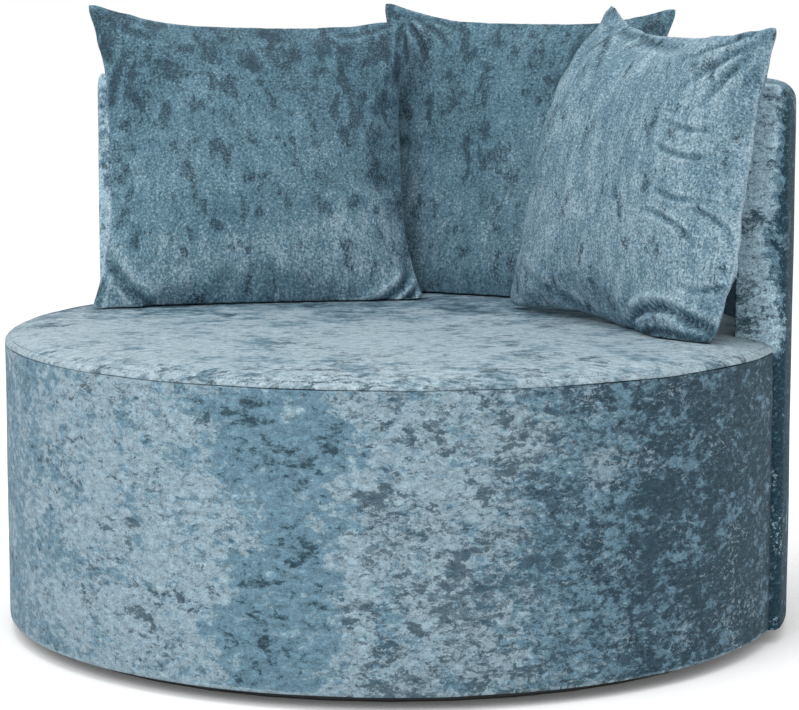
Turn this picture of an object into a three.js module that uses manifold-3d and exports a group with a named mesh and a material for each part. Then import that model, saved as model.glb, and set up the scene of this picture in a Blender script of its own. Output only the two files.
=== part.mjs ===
// Swivelling round armchair, 1.2 m across: an upholstered drum seat with a padded back that wraps
// round the rear, on a recessed plinth with a ball-bearing turntable, and three loose cushions.
// Millimetres, +Z up. The origin is on the floor, on the swivel axis. The front faces -Y.

import * as THREE from 'three';
import { mergeVertices } from 'three/addons/utils/BufferGeometryUtils.js';
import Module from 'manifold-3d';

const wasm = await Module();
wasm.setup();

// ---------------------------------------------------------------- driving dimensions (mm)

// Whole chair
const drum_radius = 600;
const drum_bottom = 20;
const seat_height = 468;
const seat_crown = 25;
const back_height = 840;
const back_proud = 14;
const back_depth = 74;
const back_end_angle = 7.5;
const back_corner_radius = 20;
const back_top_radius = 29;

// Fits
const clearance = 0.3;
const overrun = 5;
const around = 40;
const corner_steps = 4;

// Upholstery
const fabric = 1.7;
const rim_roll = 60;
const rim_inset_shares = [0, 0.05, 0.17, 0.37, 0.67, 1];
const rim_rise_shares = [0, 0.36, 0.6, 0.8, 0.9, 0.96];
const front_padding = 7.7;
const back_end_padding = 20;
const top_padding = 26;
const back_foam = 20.1;
const hem_height = 15.7;
const pad_thickness = 10;
const pad_margin = 0.6;
const foam_edge_margin = 5;

// Boards and frame
const board = 4;
const inner_board = 3;
const post_thickness = 20;
const post_width = 45;
const post_count = 8;
const rail_height = 22;
const ply = 18;
const board_top_gap = 3;
const seat_build = 150;
const seat_ring_width = 105.7;
const deck_hole = 60;
const dust_cover_thickness = 1.2;
const dust_cover_hole = 200;

// Zigzag seat springs
const spring_count = 5;
const wire_radius = 1.9;
const wave_length = 110;
const wave_reach = 22;
const spring_bearing = 22;
const clip_width = 14;
const clip_length = 24;
const clip_height = 6;
const wire_sides = 4;
const steps_per_wave = 6;

// Plinth and glides
const glide_radius = 18;
const glide_height = 4;
const glide_count = 6;
const glide_setback = 62;
const glide_pin_radius = 3.5;
const glide_pin_length = 10;
const plinth_setback = 38;
const plinth_thickness = 18;
const plinth_edge = 3;
const plinth_hole = 60;

// Turntable
const race_radius = 120;
const ball_radius = 3.5;
const ball_count = 16;
const ball_play = 0.45;
const race_lip = 7;
const race_rise = 2;
const plate_thickness = 3;
const turntable_height = 13.1;
const lower_plate_outer = 152;
const upper_plate_inner = 88;
const plate_margin = 15;
const cage_half_width = 8;
const cage_thickness = 1;
const bearing_around = 48;
const groove_steps = 4;
const ball_steps = 8;

// Screws of the turntable
const screw_radius = 2.2;
const screw_length = 14;
const screw_head_radius = 5;
const screw_head_height = 2.4;
const screw_point = 4;
const screw_edge = 11;
const screws_per_plate = 4;
const screw_sides = 8;

// Cushions: filled size as they stand
const cushion_width = 530;
const cushion_height = 485;
const cushion_rim = 5;
const cushion_flange = 6;
const cushion_fabric = 1.5;
const side_draw_share = 0.07;
const top_draw_share = 0.09;
const bottom_draw_share = 0.02;
const crown_power = 0.46;
const cushion_grid = 10;
const zip_length = 360;
const zip_thickness = 1.8;
const zip_proud = 1;
const zip_setback = 1.5;
const lean_gap = 3;
// Where each cushion stands: degrees that it faces, leans back and tips sideways, how far its
// corners are pushed out of flat, how far its middle is from the axis along its own width, and how
// far its front and its back bulge from the seam: what leans on a cushion presses that side flatter
const left_stand = { facing: 311, lean: 16, tip: 1.5, twist: 0, across: -155, front: 66, back: 50 };
const middle_stand = { facing: 270, lean: 15, tip: 0.5, twist: 0, across: 0, front: 36, back: 66 };
const right_stand = { facing: 234, lean: 13.5, tip: 2, twist: 26, across: 222, front: 66, back: 40 };

// ---------------------------------------------------------------- what follows from them

const turn = 2 * Math.PI;
const quarter = Math.PI / 2;
const half = 0.5;
const degree = Math.PI / 180;
const flat = Math.cos(Math.PI / around); // from the corners of a facet to its middle

// Layers of the drum, from outside in
const front_cover_inner = drum_radius - fabric;
const front_pad_outer = front_cover_inner - clearance;
const front_pad_inner = front_pad_outer - front_padding;
const board_outer = front_pad_inner - clearance;
const board_inner = board_outer - board;
const frame_radius = board_inner - clearance;

// Layers of the back, from inside out
const back_outer = drum_radius + back_proud;
const back_inner = back_outer - back_depth;
const inner_cover_outer = back_inner + fabric;
const inner_foam_inner = inner_cover_outer + clearance;
const inner_foam_outer = inner_foam_inner + back_foam;
const inner_board_inner = inner_foam_outer + clearance;
const inner_board_outer = inner_board_inner + inner_board;
const post_inner = inner_board_outer + clearance;
const end_cover = fabric;
const end_pad = end_cover + clearance;
const end_frame = end_pad + back_end_padding + clearance;

// Radii of the turning frame and the plinth
const seat_ring_inner = frame_radius - seat_ring_width;
const core_inner = back_inner - overrun;
const plinth_radius = drum_radius - plinth_setback;
const glide_circle = plinth_radius - glide_setback;
const spring_pitch = 2 * seat_ring_inner / (spring_count + 1);

// Heights
const seam_height = seat_height - seat_crown;
const plinth_bottom = glide_height + clearance;
const plinth_top = plinth_bottom + plinth_thickness;
const turntable_bottom = plinth_top + clearance;
const turntable_top = turntable_bottom + turntable_height;
const deck_bottom = turntable_top + clearance;
const deck_top = deck_bottom + ply;
const post_bottom = deck_top + clearance;
const seat_ring_top = seat_height - seat_build;
const seat_ring_height = seat_ring_top - ply;
const tuck_height = seat_ring_top + clearance;
const board_bottom = drum_bottom + fabric + clearance;
const ledge_height = seam_height - fabric;
const pad_top = ledge_height - clearance;
const board_top = pad_top - board_top_gap;
const back_pad_top = back_height - fabric - clearance;
const rail_top = back_pad_top - top_padding;
const rail_bottom = rail_top - rail_height;
const hem_top = drum_bottom + hem_height;
const clip_bottom = seat_ring_top + clearance;
const clip_top = clip_bottom + clip_height;
const spring_pad_bottom = clip_top + clearance;
const spring_pad_top = spring_pad_bottom + pad_thickness;
const foam_bottom = spring_pad_top + clearance;

// ---------------------------------------------------------------- geometry helpers

/** Turn a closed three.js geometry into a manifold solid whose faces point out. */
function solidOf(geometry) {
  const bare = geometry.clone();
  bare.deleteAttribute('normal');
  bare.deleteAttribute('uv');
  const welded = mergeVertices(bare);
  const points = welded.attributes.position.array;
  const faces = [];
  let volume = 0;
  const [a, b, c] = [new THREE.Vector3(), new THREE.Vector3(), new THREE.Vector3()];
  for (let i = 0; i < welded.index.count; i += 3) {
    const [p, q, r] = [0, 1, 2].map((k) => welded.index.getX(i + k));
    if (p === q || q === r || r === p) continue;
    faces.push(p, q, r);
    a.fromArray(points, 3 * p);
    b.fromArray(points, 3 * q);
    c.fromArray(points, 3 * r);
    volume += a.dot(b.cross(c));
  }
  if (volume < 0) faces.reverse();
  return new wasm.Manifold(new wasm.Mesh({
    numProp: 3,
    vertProperties: new Float32Array(points),
    triVerts: new Uint32Array(faces),
  }));
}

/** Turn a manifold solid back into a three.js geometry. */
function geometryOf(solid) {
  const mesh = solid.getMesh();
  const geometry = new THREE.BufferGeometry();
  geometry.setAttribute('position', new THREE.BufferAttribute(new Float32Array(mesh.vertProperties), 3));
  geometry.setIndex(new THREE.BufferAttribute(new Uint32Array(mesh.triVerts), 1));
  geometry.computeVertexNormals();
  return geometry;
}

/** Revolve a closed [radius, height] outline about the vertical axis. */
function revolve(outline, sides = around) {
  const points = outline.map(([r, z]) => new THREE.Vector2(r, z));
  if (outline.every(([r]) => r > 0)) points.push(points[0].clone());
  const geometry = new THREE.LatheGeometry(points, sides);
  geometry.rotateX(quarter);
  return solidOf(geometry);
}

/** A ring of rectangular section. */
function ring(inner, outer, bottom, top, sides = around) {
  return revolve([[inner, bottom], [outer, bottom], [outer, top], [inner, top]], sides);
}

/** Extrude a plan outline of [x, y] points between two heights. */
function slab(outline, bottom, top) {
  const shape = new THREE.Shape(outline.map(([x, y]) => new THREE.Vector2(x, y)));
  const geometry = new THREE.ExtrudeGeometry(shape, { depth: top - bottom, bevelEnabled: false });
  geometry.translate(0, 0, bottom);
  return solidOf(geometry);
}

/** A block of the given size with its middle at a point. */
function block(width, depth, height, x, y, z) {
  const geometry = new THREE.BoxGeometry(width, depth, height);
  geometry.translate(x, y, z);
  return solidOf(geometry);
}

/** An upright cylinder between two heights, for a hole or a pin. */
function post(radius, bottom, top, x, y, sides = screw_sides) {
  const geometry = new THREE.CylinderGeometry(radius, radius, top - bottom, sides);
  geometry.rotateX(quarter);
  geometry.translate(x, y, (bottom + top) * half);
  return solidOf(geometry);
}

/** Points evenly spaced on a circle: [x, y, angle]. */
function onCircle(radius, count, phase = 0) {
  return Array.from({ length: count }, (_, i) => {
    const angle = turn * (i + phase) / count;
    return [radius * Math.cos(angle), radius * Math.sin(angle), angle];
  });
}

const cut = (solid, tools) => tools.reduce((left, tool) => left.subtract(tool), solid);

/**
 * The plan of the back as a slab: everything between its two end faces.
 * inset moves the end faces in, and corner rounds the outer vertical edges.
 */
function backPlan(inset, corner = 0, outer = back_outer) {
  const angle = back_end_angle * degree;
  const along = [Math.cos(angle), Math.sin(angle)];
  const into = [-Math.sin(angle), Math.cos(angle)];
  const at = (a, b) => [a * along[0] + b * into[0], a * along[1] + b * into[1]];
  const reach = outer * 1.5;
  const right = [at(back_inner * half, inset)];
  let last = angle;
  if (corner > 0) {
    const depth = inset + corner;
    const middle = Math.sqrt((outer - corner) ** 2 - depth ** 2);
    const end = Math.atan2(depth, middle);
    for (let i = 0; i <= corner_steps; i += 1) {
      const t = -quarter + (end + quarter) * i / corner_steps;
      right.push(at(middle + corner * Math.cos(t), depth + corner * Math.sin(t)));
    }
    last = angle + end;
    right.push([reach * Math.cos(last), reach * Math.sin(last)]);
  } else {
    right.push(at(reach, inset));
    last = Math.atan2(right[1][1], right[1][0]);
  }
  const far = [];
  for (let i = 1; i < around; i += 1) {
    const t = last + (Math.PI - 2 * last) * i / around;
    far.push([reach * Math.cos(t), reach * Math.sin(t)]);
  }
  const left = right.map(([x, y]) => [-x, y]).reverse();
  return slab([...right, ...far, ...left], -overrun, back_height + overrun);
}

/** Part of a full ring that lies in the back, its ends set in from the back's end faces. */
const inBack = (solid, inset) => solid.intersect(backPlan(inset));
/** Part of a full ring that lies in front of the back's ends. */
const inFront = (solid) => solid.subtract(backPlan(-clearance));

const group = new THREE.Group();

const materials = {
  velvet: { color: 0x7c97a5, roughness: 0.75, metalness: 0 },
  lining: { color: 0x1b1b1d, roughness: 0.9, metalness: 0 },
  foam: { color: 0xe6dfc8, roughness: 0.95, metalness: 0 },
  felt: { color: 0x8b8478, roughness: 1, metalness: 0 },
  wadding: { color: 0xf1f1ee, roughness: 1, metalness: 0 },
  plywood: { color: 0xc8a676, roughness: 0.7, metalness: 0 },
  hardboard: { color: 0x7a5a3c, roughness: 0.75, metalness: 0 },
  plinth: { color: 0x141415, roughness: 0.55, metalness: 0 },
  zinc: { color: 0xb9bcc0, roughness: 0.35, metalness: 1 },
  steel: { color: 0x8d9095, roughness: 0.3, metalness: 1 },
  nylon: { color: 0x26272a, roughness: 0.5, metalness: 0 },
};

/** Add one named piece. */
function add(name, solid, material, parent = group) {
  const mesh = new THREE.Mesh(geometryOf(solid), new THREE.MeshStandardMaterial(materials[material]));
  mesh.name = name;
  parent.add(mesh);
  return mesh;
}

// ---------------------------------------------------------------- plinth, glides, turntable

const glide_places = onCircle(glide_circle, glide_count, half);
const lower_plate_inner = race_radius - plate_margin;
const upper_plate_outer = race_radius + plate_margin;
const lower_screw_circle = lower_plate_outer - screw_edge;
const upper_screw_circle = upper_plate_inner + screw_edge;
const lower_screws = onCircle(lower_screw_circle, screws_per_plate, half);
const upper_screws = onCircle(upper_screw_circle, screws_per_plate);
const ball_height = (turntable_bottom + turntable_top) * half;
// The flats of the races come this much nearer to the balls than their corners do
const race_flat = race_radius * (1 - Math.cos(Math.PI / bearing_around));
const hole_radius = screw_radius + clearance;
const glide_hole = glide_pin_radius + clearance;
const pin_top = glide_height + glide_pin_length;

const lower_plate_top = turntable_bottom + plate_thickness;
const upper_plate_bottom = turntable_top - plate_thickness;
const lower_screw_bottom = lower_plate_top + clearance - screw_length;
const upper_screw_top = upper_plate_bottom - clearance + screw_length;

const plinth = revolve([
  [plinth_hole, plinth_bottom],
  [plinth_radius - plinth_edge, plinth_bottom],
  [plinth_radius, plinth_bottom + plinth_edge],
  [plinth_radius, plinth_top - plinth_edge],
  [plinth_radius - plinth_edge, plinth_top],
  [plinth_hole, plinth_top],
]);
add('plinth_board', cut(plinth, [
  ...glide_places.map(([x, y]) => post(glide_hole, plinth_bottom - overrun, pin_top + clearance, x, y)),
  ...lower_screws.map(([x, y]) => post(hole_radius, lower_screw_bottom - clearance, plinth_top + overrun, x, y)),
]), 'plinth');

const glide = revolve([
  [0, 0], [glide_radius - clearance, 0], [glide_radius, glide_height * half], [glide_radius, glide_height],
  [glide_pin_radius, glide_height], [glide_pin_radius, pin_top], [0, pin_top],
], screw_sides);
glide_places.forEach(([x, y], i) => {
  add(`glide_${i + 1}`, glide, 'nylon').position.set(x, y, 0);
});

/** Outline of one turntable plate with its grooved race; side is 1 for the lower, -1 for the upper. */
function plateOutline(inner, outer, base, side) {
  const face = base + side * plate_thickness;
  const lip = face + side * race_rise;
  const bore = ball_radius + ball_play + race_flat;
  const open = Math.acos(Math.abs(ball_height - lip) / bore);
  const outline = [[inner, base], [outer, base], [outer, face], [race_radius + race_lip, face],
    [race_radius + race_lip, lip]];
  for (let i = 0; i <= groove_steps; i += 1) {
    const t = open - 2 * open * i / groove_steps;
    outline.push([race_radius + bore * Math.sin(t), ball_height - side * bore * Math.cos(t)]);
  }
  outline.push([race_radius - race_lip, lip], [race_radius - race_lip, face], [inner, face]);
  return outline;
}

const lower_plate = revolve(plateOutline(lower_plate_inner, lower_plate_outer, turntable_bottom, 1), bearing_around);
add('bearing_lower_plate', cut(lower_plate, lower_screws.map(([x, y]) => (
  post(hole_radius, turntable_bottom - overrun, lower_plate_top + overrun, x, y)))), 'zinc');

const cage_ring = ring(race_radius - cage_half_width, race_radius + cage_half_width,
  ball_height - cage_thickness * half, ball_height + cage_thickness * half, bearing_around);
const ball = new THREE.SphereGeometry(ball_radius, ball_steps, ball_steps - 2);
const balls = onCircle(race_radius, ball_count, half).map(([x, y]) => (
  solidOf(ball.clone().rotateX(quarter).translate(x, y, ball_height))));
add('bearing_cage', balls.reduce((whole, one) => whole.add(one), cage_ring), 'steel');

const upper_plate = revolve(plateOutline(upper_plate_inner, upper_plate_outer, turntable_top, -1), bearing_around);
add('bearing_upper_plate', cut(upper_plate, upper_screws.map(([x, y]) => (
  post(hole_radius, upper_plate_bottom - overrun, turntable_top + overrun, x, y)))), 'zinc');

// A screw stands on its head, with the point up
const screw = revolve([
  [0, -screw_head_height], [screw_head_radius, -screw_head_height], [screw_head_radius, 0], [screw_radius, 0],
  [screw_radius, screw_length - screw_point], [0, screw_length],
], screw_sides);
upper_screws.forEach(([x, y], i) => {
  add(`upper_screw_${i + 1}`, screw, 'zinc').position.set(x, y, upper_plate_bottom - clearance);
});
lower_screws.forEach(([x, y], i) => {
  const mesh = add(`lower_screw_${i + 1}`, screw, 'zinc');
  mesh.position.set(x, y, lower_plate_top + clearance);
  mesh.rotation.x = Math.PI;
});

// ---------------------------------------------------------------- turning frame

const deck = ring(deck_hole, frame_radius, deck_bottom, deck_top);
add('base_deck', cut(deck, upper_screws.map(([x, y]) => (
  post(hole_radius, deck_bottom - overrun, upper_screw_top + clearance, x, y)))), 'plywood');

const lip_inner = frame_radius - fabric;
add('dust_cover', ring(dust_cover_hole, lip_inner - clearance,
  deck_bottom - clearance - dust_cover_thickness, deck_bottom - clearance), 'lining');

// Posts stand flat against the facets of the boards, at the middle of a facet
const facet = turn / around;
const post_places = onCircle(1, post_count, half).map(([, , angle]) => (
  (Math.floor(angle / facet) + half) * facet));
const post_middle = (post_inner + frame_radius) * half * flat;
const post_deep = (frame_radius - post_inner) * flat;
const rear_posts = post_places.filter((angle) => Math.sin(angle) > 0);
const front_posts = post_places.filter((angle) => Math.sin(angle) < 0);

/** One upright of the frame, grown by a margin for its notch. */
function upright(angle, bottom, top, margin = 0) {
  const geometry = new THREE.BoxGeometry(post_deep + 2 * margin, post_width + 2 * margin, top - bottom);
  geometry.translate(post_middle, 0, (bottom + top) * half);
  geometry.rotateZ(angle);
  return solidOf(geometry);
}

front_posts.forEach((angle, i) => {
  add(`front_post_${i + 1}`, upright(angle, post_bottom, seat_ring_height - clearance), 'plywood');
});
rear_posts.forEach((angle, i) => {
  add(`back_post_${i + 1}`, upright(angle, post_bottom, rail_bottom - clearance), 'plywood');
});
add('seat_ring', cut(ring(seat_ring_inner, frame_radius, seat_ring_height, seat_ring_top), rear_posts.map((angle) => (
  upright(angle, seat_ring_height - overrun, seat_ring_top + overrun, clearance)))), 'plywood');
add('back_top_rail', inBack(ring(post_inner, frame_radius, rail_bottom, rail_top), end_frame), 'plywood');

// ---------------------------------------------------------------- zigzag springs on the seat ring

/** Wire bent to and fro across the seat opening, with a clip on the ring at each end. */
function zigzag(x) {
  const span = Math.sqrt((seat_ring_inner * flat) ** 2 - x ** 2) + spring_bearing;
  const bends = 2 * Math.max(1, Math.round(2 * span / wave_length));
  const steps = bends * steps_per_wave * half;
  const wire_height = clip_bottom + wire_radius + clearance;
  const points = Array.from({ length: steps + 1 }, (_, i) => {
    const share = i / steps;
    return new THREE.Vector3(wave_reach * Math.sin(Math.PI * bends * share), span * (2 * share - 1), wire_height);
  });
  const section = new THREE.Shape(onCircle(wire_radius, wire_sides).map(([a, b]) => new THREE.Vector2(a, b)));
  const wire = solidOf(new THREE.ExtrudeGeometry(section, {
    steps, extrudePath: new THREE.CatmullRomCurve3(points), bevelEnabled: false,
  }));
  const clip_middle = clip_bottom + clip_height * half;
  return wire
    .add(block(clip_width, clip_length, clip_height, 0, span, clip_middle))
    .add(block(clip_width, clip_length, clip_height, 0, -span, clip_middle));
}

for (let i = 0; i < spring_count; i += 1) {
  const x = spring_pitch * (i - (spring_count - 1) * half);
  add(`spring_${i + 1}`, zigzag(x), 'steel').position.x = x;
}

// ---------------------------------------------------------------- seat

const pad_radius = back_inner - pad_margin;
add('spring_pad', revolve([[0, spring_pad_bottom], [pad_radius, spring_pad_bottom], [pad_radius, spring_pad_top],
  [0, spring_pad_top]]), 'felt');

/** The rounded edge and crown of the seat, from the rim to the axis. */
function seatTop(rim, rise) {
  const edge = rim_inset_shares.map((share, i) => [rim - rim_roll * share, seam_height + rise * rim_rise_shares[i]]);
  return [...edge, [0, seam_height + rise]];
}

const behind = backPlan(-clearance).intersect(
  ring(back_inner - clearance, back_outer + overrun, deck_top, back_height));
const foam_step = back_inner + foam_edge_margin;
add('seat_foam', revolve([
  [0, foam_bottom], [foam_step, foam_bottom], [foam_step, tuck_height], [frame_radius, tuck_height],
  [frame_radius, ledge_height], [front_pad_outer, ledge_height],
  ...seatTop(front_pad_outer, seat_crown - fabric - clearance),
]).subtract(behind), 'foam');

add('seat_cover', revolve([
  ...seatTop(front_cover_inner, seat_crown - fabric).reverse(), ...seatTop(drum_radius, seat_crown),
]).subtract(behind), 'velvet');

// ---------------------------------------------------------------- front of the drum

add('drum_side_board', inFront(ring(board_inner, board_outer, board_bottom, board_top)), 'hardboard');
add('drum_padding', inFront(ring(front_pad_inner, front_pad_outer, board_bottom, pad_top)), 'wadding');

/** Outline of a side panel that turns under the boards, with its hem against the deck. */
function panelOutline(outer, top) {
  return [
    [lip_inner, drum_bottom], [outer - fabric, drum_bottom], [outer, drum_bottom + fabric], [outer, top],
    [outer - fabric, top], [outer - fabric, drum_bottom + fabric], [frame_radius, drum_bottom + fabric],
    [frame_radius, hem_top], [lip_inner, hem_top],
  ];
}
add('drum_front_cover', inFront(revolve(panelOutline(drum_radius, seam_height - clearance))), 'velvet');

// ---------------------------------------------------------------- back

/** Section through the back: a straight inner face and a rounded top outer edge. */
function backSection(inner, outer, bottom, top, edge) {
  const outline = [[inner, bottom], [outer, bottom]];
  for (let i = 0; i <= corner_steps; i += 1) {
    const t = quarter * i / corner_steps;
    outline.push([outer - edge + edge * Math.cos(t), top - edge + edge * Math.sin(t)]);
  }
  return [...outline, [inner, top]];
}

add('back_outer_board', inBack(ring(board_inner, board_outer, board_bottom, rail_top), end_frame), 'hardboard');
add('back_inner_board', inBack(ring(inner_board_inner, inner_board_outer, tuck_height, rail_top), end_frame),
  'hardboard');
add('back_inner_foam', inBack(ring(inner_foam_inner, inner_foam_outer, tuck_height, rail_top), end_frame), 'foam');
add('back_inner_cover', inBack(ring(back_inner, inner_cover_outer, tuck_height, back_pad_top), end_pad), 'velvet');

// Wadding: over the outer board, over the top rail and round both ends
const wadding_outer = back_outer - fabric - clearance;
const core_top = rail_top + clearance;
const wadding = revolve(backSection(inner_foam_inner, wadding_outer, board_bottom, back_pad_top,
  back_top_radius - fabric - clearance))
  .intersect(backPlan(end_pad, back_corner_radius - fabric - clearance, wadding_outer));
add('back_padding', cut(wadding, [
  inBack(ring(core_inner, front_pad_inner, board_bottom - overrun, core_top), end_frame - clearance),
  ring(core_inner, front_pad_inner, board_bottom - overrun, tuck_height),
]), 'wadding');

// Cover: down the outside, over the top and across both ends, with the hem turned under
const cover_inner = back_outer - fabric;
const envelope = revolve(backSection(lip_inner, back_outer, drum_bottom, back_height, back_top_radius)).add(
  revolve(backSection(back_inner, back_outer, tuck_height, back_height, back_top_radius)))
  .intersect(backPlan(0, back_corner_radius));
const hollow = revolve([
  [frame_radius, hem_top + clearance], [frame_radius, drum_bottom + fabric],
  ...backSection(lip_inner, cover_inner, drum_bottom + fabric, back_height - fabric, back_top_radius - fabric).slice(1, -1),
  [core_inner, back_height - fabric], [core_inner, hem_top + clearance],
]).intersect(backPlan(end_cover, back_corner_radius - fabric, cover_inner));
add('back_outer_cover', cut(envelope, [
  hollow,
  ring(core_inner, front_pad_inner, hem_top, tuck_height),
  ring(core_inner, lip_inner, drum_bottom - overrun, tuck_height),
]), 'velvet');

// ---------------------------------------------------------------- loose cushions

/** How far out an edge of a cushion stays, at a share of the way from its middle to its corner. */
const drawnIn = (share, draw) => 1 - draw * (1 - share * share);

/**
 * A filled square cushion about its middle: X across, Z up, front at -Y. The faces crown, the four
 * sides draw in, the corners stay out as ears, and a thin rim runs round.
 */
function pillow(width, height, rim, stand, wall = 0) {
  const points = [];
  const faces = [];
  const n = cushion_grid;
  const spread = (i) => Math.sin(quarter * (2 * i / n - 1));
  const index = (side, i, j) => side * (n + 1) * (n + 1) + j * (n + 1) + i;
  for (const [side, bulge] of [[-1, stand.front - wall], [1, stand.back - wall]]) {
    for (let j = 0; j <= n; j += 1) {
      for (let i = 0; i <= n; i += 1) {
        const [u, v] = [spread(i), spread(j)];
        const swell = Math.max(0, (1 - u * u) * (1 - v * v)) ** crown_power;
        points.push(
          width * half * u * drawnIn(v, side_draw_share),
          side * (rim * half + (bulge - rim * half) * swell) - stand.twist * u * v,
          height * half * v * drawnIn(u, v > 0 ? top_draw_share : bottom_draw_share),
        );
      }
    }
  }
  for (let j = 0; j < n; j += 1) {
    for (let i = 0; i < n; i += 1) {
      const [a, b, c, d] = [[i, j], [i + 1, j], [i + 1, j + 1], [i, j + 1]];
      for (const [p, q, r] of [[a, b, c], [a, c, d]]) {
        faces.push(index(0, ...p), index(0, ...q), index(0, ...r));
        faces.push(index(1, ...p), index(1, ...r), index(1, ...q));
      }
    }
  }
  const rimPoints = [];
  for (let i = 0; i < n; i += 1) rimPoints.push([i, 0]);
  for (let i = 0; i < n; i += 1) rimPoints.push([n, i]);
  for (let i = n; i > 0; i -= 1) rimPoints.push([i, n]);
  for (let i = n; i > 0; i -= 1) rimPoints.push([0, i]);
  rimPoints.forEach((p, k) => {
    const q = rimPoints[(k + 1) % rimPoints.length];
    faces.push(index(0, ...p), index(1, ...q), index(0, ...q));
    faces.push(index(0, ...p), index(1, ...p), index(1, ...q));
  });
  const geometry = new THREE.BufferGeometry();
  geometry.setAttribute('position', new THREE.Float32BufferAttribute(points, 3));
  geometry.setIndex(faces);
  return solidOf(geometry);
}

const pocket_width = cushion_width - 2 * cushion_flange;
const pocket_height = cushion_height - 2 * cushion_flange;
const pocket_rim = cushion_rim * half;
const fill_play = 2 * clearance;

/** A flat strip that follows the bottom seam of a cushion, between two distances from its edge. */
function seamStrip(length, outside, inside, thickness, twist) {
  const reach = length / cushion_width;
  const along = (offset) => Array.from({ length: cushion_grid + 1 }, (_, i) => {
    const u = reach * (2 * i / cushion_grid - 1);
    return [cushion_width * half * u, offset - cushion_height * half * drawnIn(u, bottom_draw_share)];
  });
  const outline = [...along(-outside), ...along(inside).reverse()];
  const shape = new THREE.Shape(outline.map(([x, z]) => new THREE.Vector2(x, z)));
  const geometry = new THREE.ExtrudeGeometry(shape, { depth: thickness, bevelEnabled: false });
  geometry.translate(0, 0, -thickness * half);
  geometry.rotateX(quarter);
  const place = geometry.attributes.position;
  for (let i = 0; i < place.count; i += 1) {
    place.setY(i, place.getY(i) + twist * place.getX(i) / (cushion_width * half));
  }
  return solidOf(geometry);
}

/** The body of one cushion, with its hollow cover, its filling and the zip in the bottom seam. */
function cushionParts(stand) {
  const body = pillow(cushion_width, cushion_height, cushion_rim, stand);
  const pocket = pillow(pocket_width, pocket_height, pocket_rim, stand, cushion_fabric);
  const slit = seamStrip(zip_length, overrun, cushion_flange + overrun, zip_thickness + fill_play, stand.twist);
  return {
    body,
    cover: body.subtract(pocket).subtract(slit),
    filling: pillow(pocket_width - fill_play, pocket_height - fill_play, pocket_rim - fill_play, stand,
      cushion_fabric + clearance),
    zip: seamStrip(zip_length - fill_play, zip_proud, cushion_flange - zip_setback, zip_thickness, stand.twist),
  };
}

// What a cushion stands on and leans against: the seat, and the whole back above it
const seat_block = revolve([[0, deck_top], [drum_radius, deck_top], ...seatTop(drum_radius, seat_crown)]);
const back_block = revolve(backSection(back_inner, back_outer, seam_height, back_height, back_top_radius))
  .intersect(backPlan(0, back_corner_radius));

/**
 * Stand a cushion on the seat and slide it back until it meets what is behind it. Returns its
 * group and the solid that it fills.
 */
function standCushion(stand, obstacles) {
  const place = new THREE.Group();
  place.rotation.set(-stand.lean * degree, stand.tip * degree, stand.facing * degree + quarter, 'ZXY');
  const facing = new THREE.Vector3(Math.cos(stand.facing * degree), Math.sin(stand.facing * degree), 0);
  const across = new THREE.Vector3(-facing.y, facing.x, 0);
  place.updateMatrix();
  const parts = cushionParts(stand);
  const turned = parts.body.transform(place.matrix.elements);
  const lift = seat_height + clearance - turned.boundingBox().min[2];
  const at = (back, down) => across.clone().multiplyScalar(stand.across).addScaledVector(facing, -back)
    .setZ(lift - down);
  const hits = (others, back, down = 0) => {
    const { x, y, z } = at(back, down);
    const moved = turned.translate(x, y, z);
    return others.some((other) => moved.intersect(other).volume() > 0);
  };
  const lastFree = (isHit, free, blocked) => {
    while (blocked - free > clearance * half * half) {
      const middle = (free + blocked) * half;
      if (isHit(middle)) blocked = middle; else free = middle;
    }
    return free;
  };
  let start = back_outer;
  while (hits(obstacles, start) && start > 0) start -= stand.back;
  const back = lastFree((s) => hits(obstacles, s), start, start + stand.back) - lean_gap;
  const down = lastFree((s) => hits([seat_block], back, s), 0, seat_crown) - clearance;
  place.position.copy(at(back, down));
  const { x, y, z } = place.position;
  group.add(place);
  return { ...parts, place, body: turned.translate(x, y, z) };
}

const middle_cushion = standCushion(middle_stand, [back_block]);
const left_cushion = standCushion(left_stand, [back_block, middle_cushion.body]);
const right_cushion = standCushion(right_stand, [back_block, middle_cushion.body]);

for (const [name, cushion] of [['left', left_cushion], ['middle', middle_cushion], ['right', right_cushion]]) {
  add(`cushion_${name}_cover`, cushion.cover, 'velvet', cushion.place);
  add(`cushion_${name}_insert`, cushion.filling, 'wadding', cushion.place);
  add(`cushion_${name}_zip`, cushion.zip, 'nylon', cushion.place);
}

export default group;
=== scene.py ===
"""A round swivel armchair in crushed velvet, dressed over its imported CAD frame.

Every class below is one sub-assembly or one finish. Lengths are metres, +Z is up, the seat turns
about the Z axis and its front faces -Y.
"""

import logging
import math
from dataclasses import dataclass, field
from enum import Enum
from typing import Callable, Iterable, Optional, Sequence, Union

import bmesh
import bpy
import numpy as np
from mathutils import Matrix, Vector, noise


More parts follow.
